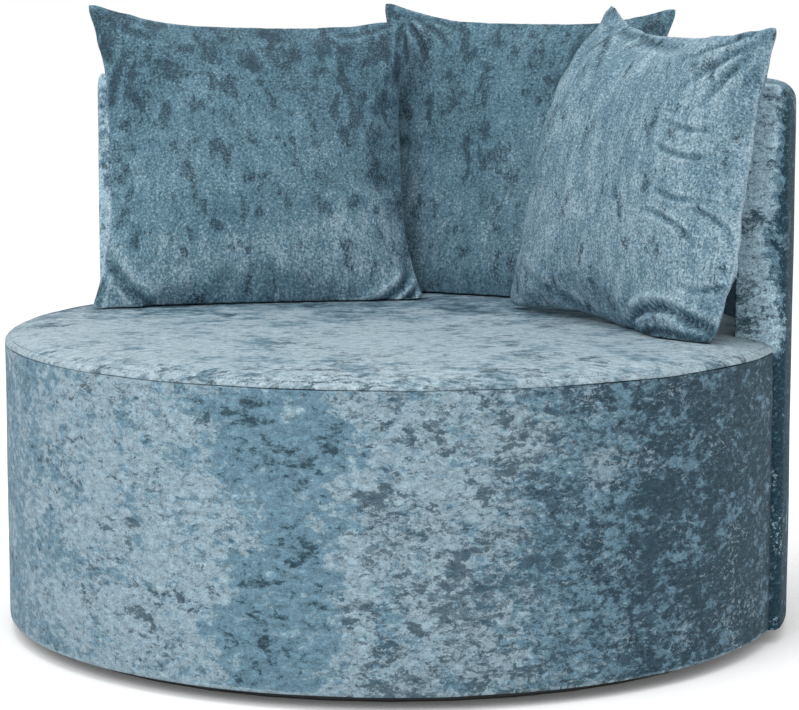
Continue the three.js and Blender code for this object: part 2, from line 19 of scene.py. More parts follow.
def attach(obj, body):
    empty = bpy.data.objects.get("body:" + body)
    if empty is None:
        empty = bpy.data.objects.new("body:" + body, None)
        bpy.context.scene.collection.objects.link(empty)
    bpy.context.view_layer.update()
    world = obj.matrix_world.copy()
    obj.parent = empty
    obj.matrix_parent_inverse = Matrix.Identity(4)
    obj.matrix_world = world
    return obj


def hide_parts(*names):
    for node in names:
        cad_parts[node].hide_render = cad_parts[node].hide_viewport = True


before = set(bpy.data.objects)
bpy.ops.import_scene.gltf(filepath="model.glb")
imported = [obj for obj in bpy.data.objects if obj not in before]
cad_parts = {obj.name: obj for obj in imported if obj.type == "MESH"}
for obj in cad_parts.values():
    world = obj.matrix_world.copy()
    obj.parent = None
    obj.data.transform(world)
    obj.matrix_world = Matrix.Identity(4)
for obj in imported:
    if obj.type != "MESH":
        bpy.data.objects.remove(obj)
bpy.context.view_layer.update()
LOG = logging.getLogger("armchair")

Colour = tuple[float, float, float, float]
Point = tuple[float, float, float]
Socket = Union[bpy.types.NodeSocket, float, Sequence[float]]
Spread = Callable[[Vector], tuple[float, float]]

CLOTH_MAP = "cloth"  # the UV map, in metres, that every fabric pattern reads
PAINTED_SHADE = "painted_shade"  # painted shade: 1 or more in a crease or tuck, below 0 on a fold's shoulders, where it gives a painted highlight
SEWN = "sewn"  # 1 on a cushion's sewn edge, 0 away from it; it places a painted highlight on the seam's ridge

DRUM_RADIUS = 0.600
SEAT_TOP = 0.468
BACK_RADIUS = 0.614  # the outside of the back
BACK_END = 7.5  # how far behind the seat's centre line both ends of the back lie, in degrees
BACK_CORNER = 0.020  # the radius of the upright corners of the back
BACK_MAP_START = 3.0  # where the back's cloth starts on its map, so that it matches no other piece's
ON_SEAM = 0.9999  # the share across or up a cushion's panel past which a vertex is on the seam
AS_IS = (1.0, 1.0, 1.0)  # a scale that changes nothing


# ------------------------------------------------------------------------------ node wiring


class Wiring:
    """Adds shader nodes to one tree and joins their sockets."""

    def __init__(self, tree: bpy.types.NodeTree) -> None:
        """Start on a tree, which keeps whatever nodes it has."""
        self.tree = tree

    def feed(self, socket: bpy.types.NodeSocket, value: Socket) -> None:
        """Link a socket to another one, or set its constant."""
        if isinstance(value, bpy.types.NodeSocket):
            self.tree.links.new(value, socket)
        else:
            socket.default_value = value

    def node(self, kind: str, sockets: Optional[dict] = None, **settings: object) -> bpy.types.Node:
        """Add one node.

        Args:
            kind: the node's type, without its ShaderNode prefix.
            sockets: input names or numbers, each with a socket to link or a constant.
            **settings: properties of the node.

        Returns:
            The new node.
        """
        made = self.tree.nodes.new(f"ShaderNode{kind}")
        for name, value in settings.items():
            setattr(made, name, value)
        for key, value in (sockets or {}).items():
            self.feed(made.inputs[key], value)
        return made

    def sum(self, operation: str, first: Socket, second: Socket = 0.0,
            third: Socket = 0.0) -> bpy.types.NodeSocket:
        """Join up to three numbers with a maths operation and return the result."""
        return self.node("Math", {0: first, 1: second, 2: third}, operation=operation).outputs[0]

    def lift(self, noise: Socket, gain: Socket) -> bpy.types.NodeSocket:
        """Return how far noise is above its middle, times a gain."""
        return self.sum("MULTIPLY", self.sum("SUBTRACT", noise, 0.5), gain)

    def stirred(self, value: Socket, noise: Socket, gain: Socket) -> bpy.types.NodeSocket:
        """Return a value with noise added, times a gain."""
        return self.sum("ADD", value, self.lift(noise, gain))

    def times_plus(self, value: Socket, gain: Socket, more: Socket) -> bpy.types.NodeSocket:
        """Return a value times a gain, plus something more."""
        return self.sum("MULTIPLY_ADD", value, gain, more)

    def step(self, value: Socket, low: Socket, high: Socket) -> bpy.types.NodeSocket:
        """Return 0 below one number and 1 above another, with a smooth rise between."""
        sockets = {"Value": value, "From Min": low, "From Max": high}
        return self.node("MapRange", sockets, interpolation_type="SMOOTHSTEP").outputs[0]

    def dimmed(self, colour: Socket, shade: Socket) -> bpy.types.NodeSocket:
        """Return a colour times a grey."""
        grey = self.node("CombineColor", {0: shade, 1: shade, 2: shade}).outputs[0]
        return self.mix(1.0, colour, grey, "MULTIPLY")

    def grown(self, vector: Socket, scale: Socket) -> bpy.types.NodeSocket:
        """Return a vector times one number."""
        return self.node("VectorMath", {0: vector, "Scale": scale}, operation="SCALE").outputs[0]

    def here(self) -> bpy.types.NodeSocket:
        """Return the place on the object, in metres."""
        return self.node("TexCoord").outputs["Object"]

    def mix(self, share: Socket, first: Socket, second: Socket, way: str = "MIX") -> bpy.types.NodeSocket:
        """Return a mixture of two colours."""
        return self.node("Mix", {0: share, 6: first, 7: second}, data_type="RGBA", blend_type=way).outputs[2]

    def scaled(self, vector: Socket, scale: Point, place: Point = (0.0, 0.0, 0.0)) -> bpy.types.NodeSocket:
        """Return a vector stretched along its axes, then moved."""
        return self.node("Mapping", {"Vector": vector, "Scale": scale, "Location": place}).outputs[0]

    def cloud(self, vector: Socket, scale: float, detail: float = 2.0, rough: float = 0.5,
              warp: float = 0.0) -> bpy.types.NodeSocket:
        """Return fractal noise with this many features to the metre."""
        sockets = {"Vector": vector, "Scale": scale, "Detail": detail, "Roughness": rough, "Distortion": warp}
        return self.node("TexNoise", sockets).outputs[0]

    def warped(self, vector: Socket, scale: float, reach: float) -> bpy.types.NodeSocket:
        """Return a vector pushed about by coloured noise, up to a reach in metres."""
        colour = self.node("TexNoise", {"Vector": vector, "Scale": scale, "Detail": 3.0}).outputs[1]
        away = self.node("VectorMath", {0: colour, 1: (0.5, 0.5, 0.5)}, operation="SUBTRACT").outputs[0]
        push = self.grown(away, 2.0 * reach)
        return self.node("VectorMath", {0: vector, 1: push}, operation="ADD").outputs[0]

    def placed(self, effect: bpy.types.NodeTree, sockets: dict) -> bpy.types.Node:
        """Place a node group and set its inputs."""
        made = self.tree.nodes.new("ShaderNodeGroup")
        made.node_tree = effect
        for key, value in sockets.items():
            self.feed(made.inputs[key], value)
        return made


@dataclass(frozen=True)
class Effect:
    """A node group with named inputs and outputs, built once and kept by its name."""

    name: str
    inputs: tuple[tuple[str, str, object], ...]
    outputs: tuple[tuple[str, str], ...]

    def group(self) -> bpy.types.NodeTree:
        """Return the finished group, building it the first time."""
        known = bpy.data.node_groups.get(self.name)
        if known:
            return known
        tree = bpy.data.node_groups.new(self.name, "ShaderNodeTree")
        for label, kind, value in self.inputs:
            socket = tree.interface.new_socket(name=label, in_out="INPUT", socket_type=f"NodeSocket{kind}")
            if value is not None:
                socket.default_value = value
        for label, kind in self.outputs:
            tree.interface.new_socket(name=label, in_out="OUTPUT", socket_type=f"NodeSocket{kind}")
        source = tree.nodes.new("NodeGroupInput")
        results = self.wire(Wiring(tree), {label: source.outputs[label] for label, _, _ in self.inputs})
        sink = tree.nodes.new("NodeGroupOutput")
        for label, value in results.items():
            tree.links.new(value, sink.inputs[label])
        return tree

    def wire(self, on: Wiring, given: dict) -> dict:
        """Build the inside of the group from its inputs, and return its outputs by name."""
        raise NotImplementedError


TONES = (("Dark", "Color", (0.03, 0.06, 0.083, 1.0)), ("Middle", "Color", (0.098, 0.18, 0.243, 1.0)),
         ("Light", "Color", (0.24, 0.335, 0.388, 1.0)))


def toned(on: Wiring, given: dict, tone: Socket) -> bpy.types.NodeSocket:
    """Return the pile's colour for a tone from 0, dark, through 0.5, middle, to 1, light.

    Args:
        on: the tree.
        given: its sockets: the three colours, and Soft, how gradual the change between them is.
        tone: the tone.

    Returns:
        The colour.
    """
    soft = given["Soft"]
    past_dark, past_middle = (on.step(tone, on.sum("SUBTRACT", at, soft), on.sum("ADD", soft, at))
                              for at in (0.28, 0.68))
    return on.mix(past_middle, on.mix(past_dark, given["Dark"], given["Middle"]), given["Light"])


class FineFibre(Effect):
    """The short pile of velvet: a fine salt-and-pepper grain in colour and relief."""

    def __init__(self) -> None:
        """Name the group's sockets."""
        super().__init__("fine_fibre", (("Vector", "Vector", None), ("Scale", "Float", 1.0)),
                         (("Grain", "Float"), ("Relief", "Float")))

    def wire(self, on: Wiring, given: dict) -> dict:
        """Join a very fine noise and a slightly coarser one."""
        vector = on.grown(given["Vector"], given["Scale"])
        fine = on.cloud(vector, 380.0, 1.0, 0.6)
        coarse = on.cloud(on.scaled(vector, (1.0, 0.7, 1.0)), 210.0, 2.0, 0.6)
        grain = on.times_plus(fine, 0.6, on.sum("MULTIPLY", coarse, 0.4))
        return {"Grain": grain, "Relief": coarse}


class CrushedPile(Effect):
    """Velvet pile crushed into bright fields with small torn flakes, lying along the cloth."""

    def __init__(self) -> None:
        """Name the group's sockets."""
        super().__init__(
            "crushed_pile",
            (("Vector", "Vector", None), ("Ground", "Float", 0.5), ("Dark Flakes", "Float", 0.3),
             ("Light Flakes", "Float", 0.3), ("Cloud", "Float", 0.6), ("Grain", "Float", 1.5),
             ("Soft", "Float", 0.11), *TONES),
            (("Color", "Color"), ("Height", "Float"), ("Roughness", "Float")))

    def wire(self, on: Wiring, given: dict) -> dict:
        """Lay torn flakes, dashes and grain over ragged fields of tone."""
        torn = on.warped(given["Vector"], 50.0, 0.004)
        lying = on.scaled(torn, (0.6, 1.0, 1.0))
        fields = on.cloud(torn, 15.0, 9.0, 0.72, 0.4)
        mottle = on.cloud(lying, 72.0, 6.0, 0.72, 0.2)
        tone = on.stirred(given["Ground"], fields, given["Cloud"])
        tone = on.stirred(tone, mottle, 1.8)
        colour = toned(on, given, tone)
        masks = []
        for label, scale, offset, most, width in (
                ("Dark Flakes", 52.0, 3.1, 0.665, 0.045), ("Dark Flakes", 125.0, 5.9, 0.665, 0.05),
                ("Light Flakes", 150.0, 7.7, 0.66, 0.05)):
            gathered = on.cloud(on.scaled(given["Vector"], AS_IS, (offset, offset, 0.0)), 11.0, 4.0, 0.6)
            edge = on.times_plus(given[label], -0.14, most)
            edge = on.stirred(edge, gathered, -0.5)
            flakes = on.cloud(on.scaled(lying, AS_IS, (offset, -offset, 0.0)), scale, 7.0, 0.74, 0.3)
            masks.append(on.step(flakes, edge, on.sum("ADD", edge, width)))
        dark, light = on.sum("MAXIMUM", masks[0], on.sum("MULTIPLY", masks[1], 0.8)), masks[2]
        specks = on.cloud(on.scaled(lying, (1.0, 1.3, 1.0), (1.7, 0.0, 0.0)), 150.0, 4.0, 0.7)
        specks = on.step(specks, 0.54, 0.62)
        colour = on.mix(on.sum("MULTIPLY", specks, 0.4), colour, given["Middle"])
        colour = on.mix(on.sum("MULTIPLY", dark, 0.8), colour, given["Dark"])
        colour = on.mix(on.sum("MULTIPLY", light, 0.7), colour, given["Light"])
        fibre = on.placed(FineFibre().group(), {"Vector": given["Vector"], "Scale": 1.0})
        shade = on.stirred(1.0, fibre.outputs["Grain"], given["Grain"])
        torn_light = on.cloud(on.scaled(lying, AS_IS, (4.4, 2.2, 0.0)), 100.0, 5.0, 0.75)
        shade = on.stirred(shade, torn_light, 2.0)
        colour = on.dimmed(colour, shade)
        height = on.times_plus(mottle, 0.5, on.sum("MULTIPLY", fields, 0.6))
        height = on.sum("ADD", height, on.times_plus(light, 0.2, on.sum("MULTIPLY", dark, -0.3)))
        height = on.sum("ADD", height, on.sum("MULTIPLY", fibre.outputs["Relief"], 0.05))
        rough = on.times_plus(light, -0.12, on.times_plus(tone, -0.12, 0.72))
        return {"Color": colour, "Height": height, "Roughness": rough}


class BrushedPile(Effect):
    """Velvet pile brushed up and down a cushion: soft streaks, dark pebbled clusters and sparkle."""

    def __init__(self) -> None:
        """Name the group's sockets."""
        super().__init__(
            "brushed_pile",
            (("Vector", "Vector", None), ("Ground", "Float", 0.5), ("Clusters", "Float", 0.5),
             ("Sparkle", "Float", 0.3), ("Streaks", "Float", 0.8), ("Grain", "Float", 2.4),
             ("Soft", "Float", 0.24), *TONES),
            (("Color", "Color"), ("Height", "Float"), ("Roughness", "Float")))

    def wire(self, on: Wiring, given: dict) -> dict:
        """Lay pebbled clusters and sparkle over streaks and clouds."""
        vector = given["Vector"]
        brushed = on.scaled(on.warped(vector, 22.0, 0.008), (1.0, 0.34, 1.0))
        streaks = on.cloud(brushed, 60.0, 6.0, 0.66, 0.3)
        clouds = on.cloud(on.scaled(vector, (1.0, 0.7, 1.0)), 11.0, 6.0, 0.62, 0.3)
        tone = on.stirred(given["Ground"], streaks, given["Streaks"])
        tone = on.stirred(tone, clouds, 0.55)
        pebbles = on.cloud(vector, 240.0, 2.0, 0.6, 0.5)
        tone = on.stirred(tone, pebbles, 1.2)
        colour = toned(on, given, tone)
        ragged = on.scaled(on.warped(vector, 30.0, 0.006), (1.0, 0.6, 1.0), (2.2, 1.1, 0.0))
        gathered = on.cloud(ragged, 36.0, 5.0, 0.62)
        edge = on.times_plus(given["Clusters"], -0.14, 0.635)
        mass = on.step(gathered, edge, on.sum("ADD", edge, 0.055))
        dark = on.sum("MULTIPLY", mass, on.step(pebbles, 0.42, 0.54))
        glow = on.cloud(on.scaled(vector, (1.0, 0.8, 1.0), (5.0, 3.0, 0.0)), 11.0, 3.0, 0.55)
        lit = on.sum("MULTIPLY", on.step(glow, 0.40, 0.62), given["Sparkle"])
        sparks = on.cloud(on.scaled(vector, AS_IS, (9.0, 4.0, 0.0)), 250.0, 2.0, 0.6)
        light = on.sum("MULTIPLY", lit, on.step(sparks, 0.50, 0.66))
        deep = on.mix(0.35, given["Dark"], (0.0, 0.0, 0.0, 1.0))
        colour = on.mix(on.sum("MULTIPLY", dark, 0.9), colour, deep)
        colour = on.mix(on.sum("MULTIPLY", light, 0.85), colour, given["Light"])
        fibre = on.placed(FineFibre().group(), {"Vector": vector, "Scale": 1.0})
        shade = on.stirred(1.0, fibre.outputs["Grain"], given["Grain"])
        colour = on.dimmed(colour, shade)
        height = on.times_plus(streaks, 0.5, on.sum("MULTIPLY", pebbles, 0.12))
        height = on.sum("ADD", height, on.sum("MULTIPLY", dark, -0.12))
        rough = on.times_plus(tone, -0.1, 0.74)
        return {"Color": colour, "Height": height, "Roughness": rough}


class WoodGrain(Effect):
    """Long wood fibres along one axis, with the darker lines of the year rings."""

    def __init__(self) -> None:
        """Name the group's sockets."""
        super().__init__("wood_grain", (("Vector", "Vector", None), ("Dark", "Color", (0.3, 0.17, 0.08, 1.0)),
                                        ("Light", "Color", (0.62, 0.43, 0.24, 1.0))),
                         (("Color", "Color"), ("Height", "Float")))

    def wire(self, on: Wiring, given: dict) -> dict:
        """Join stretched noise and warped rings."""
        along = on.scaled(given["Vector"], (1.0, 0.06, 1.0))
        fibres = on.cloud(along, 420.0, 4.0, 0.65)
        rings = on.sum("SINE", on.sum("MULTIPLY", on.cloud(along, 12.0, 3.0, 0.55, 0.8), 60.0))
        share = on.times_plus(rings, 0.22, on.times_plus(fibres, 0.7, 0.1))
        return {"Color": on.mix(share, given["Dark"], given["Light"]), "Height": fibres}


class Wear(Effect):
    """Rubbed patches and scuffs, for hard parts."""

    def __init__(self) -> None:
        """Name the group's sockets."""
        super().__init__("wear", (("Vector", "Vector", None), ("Scale", "Float", 1.0)),
                         (("Rubbed", "Float"), ("Scuffs", "Float")))

    def wire(self, on: Wiring, given: dict) -> dict:
        """Join broad patches and thin scratches."""
        vector = on.grown(given["Vector"], given["Scale"])
        patches = on.step(on.cloud(vector, 24.0, 5.0, 0.6), 0.45, 0.68)
        scratch = on.cloud(on.scaled(vector, (1.0, 0.05, 0.3)), 260.0, 2.0, 0.6)
        return {"Rubbed": patches, "Scuffs": on.step(scratch, 0.62, 0.7)}


# ---------------------------------------------------------------------------------- finishes


def shaded(colour: Colour, gain: float) -> Colour:
    """Return a colour made lighter or darker."""
    return tuple(gain * c for c in colour[:3]) + (1.0,)


class Finish:
    """A finish that makes one material and hands the same one out again."""

    name: str

    def material(self) -> bpy.types.Material:
        """Return this finish's material, building it the first time."""
        known = bpy.data.materials.get(self.name)
        if known:
            return known
        made = bpy.data.materials.new(self.name)
        made.use_nodes = True
        made.node_tree.nodes.clear()
        on = Wiring(made.node_tree)
        shader = self.shade(on)
        on.node("OutputMaterial", {"Surface": shader.outputs[0]})
        return made

    def shade(self, on: Wiring) -> bpy.types.Node:
        """Wire the finish and return its shader."""
        raise NotImplementedError

    def coat(self, on: Wiring, colour: Socket, rough: Socket, relief: tuple[Socket, float, float],
             more: Optional[dict] = None) -> bpy.types.Node:
        """Return the shader of a coloured surface.

        Args:
            on: the tree.
            colour: the surface's colour.
            rough: its roughness.
            relief: the height of its relief, how strong it is and how deep in metres.
            more: other inputs of the shader.

        Returns:
            The shader.
        """
        height, strength, depth = relief
        normal = on.node("Bump", {"Height": height, "Strength": strength, "Distance": depth}).outputs[0]
        return on.node("BsdfPrincipled", {
            "Base Color": colour, "Roughness": rough, "Normal": normal, **(more or {})})


class Nap(Enum):
    """How the pile of a velvet piece lies."""

    CRUSHED = "crushed"
    BRUSHED = "brushed"


class Run(Enum):
    """The direction along which the bands of a velvet piece follow one another."""

    ALONG = 0
    UP = 1


@dataclass(frozen=True)
class Velvet(Finish):
    """Blue-grey crushed velvet.

    Each band gives a place along the cloth in metres, the tone of the ground there, and the
    shares of dark and of light in it: flakes on crushed pile, clusters and sparkle on brushed.
    Each lit stretch is a painted highlight: two heights between which the ground comes to change, and by
    how much. The wander is how ragged the bands are, and the amount how cloudy or streaky the ground is.
    With a hem, a sewn edge gets a painted highlight and creases and tucks get painted shade, each by its
    gain.
    """

    name: str
    nap: Nap = Nap.CRUSHED
    run: Run = Run.ALONG
    bands: tuple[tuple[float, float, float, float], ...] = ((0.0, 0.5, 0.4, 0.4), (1.0, 0.5, 0.4, 0.4))
    wander: float = 0.05
    amount: float = 0.7
    grain: float = 1.5
    soft: float = 0.12
    relief: float = 0.45
    seed: float = 0.0
    hem: bool = False
    seam_highlight_gain: float = 0.22
    painted_shade_gain: float = -0.46
    lit: tuple[tuple[float, float, float], ...] = ()
    shine: float = 0.1
    dark: Colour = (0.028, 0.056, 0.076, 1.0)
    middle: Colour = (0.100, 0.178, 0.232, 1.0)
    light: Colour = (0.255, 0.345, 0.395, 1.0)

    def shade(self, on: Wiring) -> bpy.types.Node:
        """Drive the pile's tone and flakes by the bands, and give it sheen and relief."""
        laid = on.node("UVMap", uv_map=CLOTH_MAP).outputs[0]
        cloth = on.scaled(laid, AS_IS, (self.seed, 0.6 * self.seed, self.seed))
        parts = on.node("SeparateXYZ", {0: laid}).outputs
        drift = on.lift(on.cloud(cloth, 7.0, 8.0, 0.70), 14.0 * self.wander)
        place = on.sum("ADD", parts[self.run.value], drift)
        first, last = self.bands[0][0], self.bands[-1][0]
        share = on.node("MapRange", {"Value": place, "From Min": first, "From Max": last}).outputs[0]
        ramp = on.node("ValToRGB", {0: share})
        stops = ramp.color_ramp.elements
        for i, (where, *values) in enumerate(self.bands):
            at = (where - first) / (last - first)
            middle = 0 < i < len(self.bands) - 1
            stop = stops.new(at) if middle else stops[0 if i == 0 else len(stops) - 1]
            stop.position = at
            stop.color = (*values, 1.0)
        told = on.node("SeparateColor", {0: ramp.outputs[0]}).outputs
        ground = told[0]
        if self.hem:
            # painted highlight along the sewn edge's ridge
            seam_highlight = on.step(on.node("Attribute", attribute_name=SEWN).outputs["Fac"], 0.2, 0.9)
            ground = on.times_plus(seam_highlight, self.seam_highlight_gain, ground)
            # painted shade in creases and tucks, and a painted highlight where the mark is below 0
            painted_shade = on.node("Attribute", attribute_name=PAINTED_SHADE).outputs["Fac"]
            ground = on.times_plus(painted_shade, self.painted_shade_gain, ground)
        # painted highlights: the ground rises between the heights of each lit stretch
        for low, high, gain in self.lit:
            ground = on.times_plus(on.step(parts[1], low, high), gain, ground)
        colours = {"Dark": self.dark, "Middle": self.middle, "Light": self.light}
        if self.nap is Nap.CRUSHED:
            pile = on.placed(CrushedPile().group(), {
                "Vector": cloth, "Ground": ground, "Dark Flakes": told[1], "Light Flakes": told[2],
                "Cloud": self.amount, "Grain": self.grain, "Soft": self.soft, **colours})
        else:
            pile = on.placed(BrushedPile().group(), {
                "Vector": cloth, "Ground": ground, "Clusters": told[1], "Sparkle": told[2],
                "Streaks": self.amount, "Grain": self.grain, "Soft": self.soft, **colours})
        return self.coat(on, pile.outputs["Color"], pile.outputs["Roughness"],
                         (pile.outputs["Height"], self.relief, 0.0022), {
                             "Specular IOR Level": self.shine, "Sheen Weight": 0.2 * self.shine,
                             "Sheen Roughness": 0.4, "Sheen Tint": (0.72, 0.87, 1.0, 1.0)})


@dataclass(frozen=True)
class Thread(Finish):
    """Twisted sewing thread."""

    name: str = "thread"
    colour: Colour = (0.12, 0.22, 0.29, 1.0)

    def shade(self, on: Wiring) -> bpy.types.Node:
        """Twist two tones along the thread."""
        twist = on.cloud(on.here(), 900.0, 2.0, 0.6)
        return self.coat(on, on.mix(twist, shaded(self.colour, 0.6), self.colour), 0.55, (twist, 0.4, 0.0004))


@dataclass(frozen=True)
class Filling(Finish):
    """Foam, felt or wadding: a pale fibrous or cellular stuff."""

    name: str
    colour: Colour
    shadow: Colour
    cells: float = 300.0
    depth: float = 0.001

    def shade(self, on: Wiring) -> bpy.types.Node:
        """Join cells and clouds."""
        vector = on.here()
        uneven = on.warped(vector, 90.0, 0.002)
        cells = on.node("TexVoronoi", {"Vector": uneven, "Scale": self.cells}).outputs[0]
        clouds = on.cloud(vector, 18.0, 5.0, 0.6)
        share = on.times_plus(cells, 0.5, on.sum("MULTIPLY", clouds, 0.6))
        return self.coat(on, on.mix(share, self.colour, self.shadow), 0.95, (cells, 0.5, self.depth))


@dataclass(frozen=True)
class Woven(Finish):
    """A thin, dark lining cloth with a plain weave."""

    name: str = "lining_cloth"
    colour: Colour = (0.022, 0.022, 0.026, 1.0)

    def shade(self, on: Wiring) -> bpy.types.Node:
        """Cross two sets of threads."""
        parts = on.node("SeparateXYZ", {0: on.here()}).outputs
        warp = on.sum("SINE", on.sum("MULTIPLY", parts[0], 4200.0))
        weft = on.sum("SINE", on.sum("MULTIPLY", parts[1], 4200.0))
        weave = on.times_plus(on.sum("MULTIPLY", warp, weft), 0.5, 0.5)
        return self.coat(on, on.mix(weave, self.colour, shaded(self.colour, 2.4)), 0.9, (weave, 0.4, 0.0004))


@dataclass(frozen=True)
class Wood(Finish):
    """Plywood or hardboard."""

    name: str
    dark: Colour
    light: Colour
    rough: float = 0.62

    def shade(self, on: Wiring) -> bpy.types.Node:
        """Lay grain with a few rubbed patches."""
        vector = on.here()
        grain = on.placed(WoodGrain().group(), {"Vector": vector, "Dark": self.dark, "Light": self.light})
        wear = on.placed(Wear().group(), {"Vector": vector, "Scale": 1.0})
        rubbed = on.sum("MULTIPLY", wear.outputs["Rubbed"], 0.25)
        colour = on.mix(rubbed, grain.outputs["Color"], self.light)
        return self.coat(on, colour, self.rough, (grain.outputs["Height"], 0.35, 0.0006))


@dataclass(frozen=True)
class Painted(Finish):
    """The plinth's dark, slightly stippled paint."""

    name: str = "plinth_paint"
    colour: Colour = (0.012, 0.013, 0.015, 1.0)

    def shade(self, on: Wiring) -> bpy.types.Node:
        """Stipple the paint and grey its scuffs."""
        vector = on.here()
        wear = on.placed(Wear().group(), {"Vector": vector, "Scale": 1.0})
        stipple = on.cloud(vector, 380.0, 2.0, 0.6)
        scuffed = on.sum("MULTIPLY", wear.outputs["Scuffs"], 0.5)
        rough = on.times_plus(wear.outputs["Rubbed"], -0.15, 0.55)
        colour = on.mix(scuffed, self.colour, shaded(self.colour, 3.0))
        return self.coat(on, colour, rough, (stipple, 0.3, 0.0004))


@dataclass(frozen=True)
class Metal(Finish):
    """Zinc plate or spring steel."""

    name: str
    colour: Colour
    rough: float = 0.34

    def shade(self, on: Wiring) -> bpy.types.Node:
        """Spangle the metal and brush it."""
        vector = on.here()
        spangle = on.node("TexVoronoi", {"Vector": vector, "Scale": 120.0}).outputs[1]
        tint = on.mix(0.12, self.colour, spangle, "MULTIPLY")
        wear = on.placed(Wear().group(), {"Vector": vector, "Scale": 3.0})
        rough = on.times_plus(wear.outputs["Rubbed"], 0.14, self.rough)
        return self.coat(on, tint, rough, (wear.outputs["Scuffs"], 0.2, 0.0003), {"Metallic": 1.0})


@dataclass(frozen=True)
class Moulded(Finish):
    """Dark moulded nylon."""

    name: str = "moulded_nylon"
    colour: Colour = (0.03, 0.031, 0.034, 1.0)

    def shade(self, on: Wiring) -> bpy.types.Node:
        """Give the plastic a faint moulded grain."""
        grain = on.cloud(on.here(), 500.0, 2.0, 0.6)
        return self.coat(on, on.mix(grain, self.colour, shaded(self.colour, 1.8)), 0.5, (grain, 0.25, 0.0003))


@dataclass(frozen=True)
class Ground(Finish):
    """The plain pale studio floor."""

    name: str = "studio_floor"
    colour: Colour = (0.96, 0.96, 0.96, 1.0)

    def shade(self, on: Wiring) -> bpy.types.Node:
        """Keep the floor matt."""
        return on.node("BsdfPrincipled", {
            "Base Color": self.colour, "Roughness": 0.9, "Specular IOR Level": 0.1,
            "Emission Color": (1.0, 1.0, 1.0, 1.0), "Emission Strength": 0.06})


class Finishes:
    """The finishes of the chair, by what they cover."""

    WADDING = Filling("wadding", (0.86, 0.86, 0.84, 1.0), (0.68, 0.68, 0.66, 1.0), 160.0, 0.0015)
    FOAM = Filling("foam", (0.82, 0.76, 0.58, 1.0), (0.66, 0.58, 0.40, 1.0), 420.0, 0.0008)
    FELT = Filling("felt", (0.30, 0.27, 0.23, 1.0), (0.17, 0.15, 0.13, 1.0), 240.0, 0.0012)
    PLYWOOD = Wood("plywood", (0.42, 0.27, 0.14, 1.0), (0.68, 0.50, 0.30, 1.0))
    HARDBOARD = Wood("hardboard", (0.14, 0.08, 0.045, 1.0), (0.26, 0.16, 0.09, 1.0), 0.55)
    ZINC = Metal("zinc", (0.62, 0.64, 0.66, 1.0))
    STEEL = Metal("spring_steel", (0.36, 0.37, 0.39, 1.0), 0.28)
    NYLON = Moulded()
    ZIP = Moulded("zip_nylon", (0.035, 0.07, 0.095, 1.0))
    PLINTH = Painted()
    LINING = Woven()
    THREAD = Thread()


# ------------------------------------------------------------------------------ mesh helpers


def piece_of(name: str, shape: bmesh.types.BMesh) -> bpy.types.Object:
    """Turn a bmesh into a smooth-shaded object at the origin.

    Args:
        name: the piece's name.
        shape: the bmesh, which is freed.

    Returns:
        The new object, linked to the scene.
    """
    mesh = bpy.data.meshes.new(name)
    shape.to_mesh(mesh)
    shape.free()
    mesh.shade_smooth()
    piece = bpy.data.objects.new(name, mesh)
    bpy.context.scene.collection.objects.link(piece)
    return piece


def face_outwards(shape: bmesh.types.BMesh) -> None:
    """Turn every face of a closed shape outwards, also where it ends in thin edges."""
    bmesh.ops.recalc_face_normals(shape, faces=shape.faces)
    if shape.calc_volume(signed=True) < 0.0:
        bmesh.ops.reverse_faces(shape, faces=shape.faces)


def polar(radius: float, degrees: float, height: float) -> Vector:
    """Return the point at a radius, an angle and a height."""
    angle = math.radians(degrees)
    return Vector((radius * math.cos(angle), radius * math.sin(angle), height))


def degrees_of(point: Vector) -> float:
    """Return a point's angle about the chair's axis, in degrees from +X."""
    return math.degrees(math.atan2(point.y, point.x))


def turned(profile: Sequence[tuple[float, float]], start: float, sweep: float, steps: int,
           closed: bool = False) -> bmesh.types.BMesh:
    """Spin a line of (radius, height) points about the chair's axis.

    Args:
        profile: the points, from one end of the line to the other.
        start: the angle at which the spin starts, in degrees.
        sweep: how far it goes, in degrees; 360 closes it on itself.
        steps: its number of steps.
        closed: whether the line is a loop, so that the ring is solid and its ends are capped.

    Returns:
        A new bmesh whose normals face outwards.
    """
    shape = bmesh.new()
    line = [shape.verts.new(polar(r, start, z)) for r, z in profile]
    pairs = list(zip(line, line[1:])) + ([(line[-1], line[0])] if closed else [])
    edges = [shape.edges.new(pair) for pair in pairs]
    full = sweep >= 360.0
    bmesh.ops.spin(shape, geom=line + edges, cent=(0, 0, 0), axis=(0, 0, 1), angle=math.radians(sweep),
                   steps=steps, use_merge=full, use_duplicate=False)
    bmesh.ops.remove_doubles(shape, verts=shape.verts, dist=1e-6)
    if closed and not full:
        rim = [e for e in shape.edges if len(e.link_faces) == 1]
        bmesh.ops.holes_fill(shape, edges=rim, sides=0)
    bmesh.ops.recalc_face_normals(shape, faces=shape.faces)
    return shape


def set_points(mesh: bpy.types.Mesh, spots: np.ndarray) -> None:
    """Move a mesh's vertices to new places, one row each."""
    mesh.vertices.foreach_set("co", spots.ravel())


def mark(mesh: bpy.types.Mesh, name: str, values: Sequence[float]) -> None:
    """Give a mesh an attribute with one number for each vertex."""
    mesh.attributes.new(name, "FLOAT", "POINT").data.foreach_set("value", values)


def eased(share: np.ndarray) -> np.ndarray:
    """Smooth a share that goes from 0 to 1."""
    return share * share * (3 - 2 * share)


def on_seam(tags: np.ndarray) -> np.ndarray:
    """Tell which vertices of a cushion are on its seam, from their shares across and up."""
    return np.maximum(np.abs(tags[:, 0]), np.abs(tags[:, 1])) > ON_SEAM


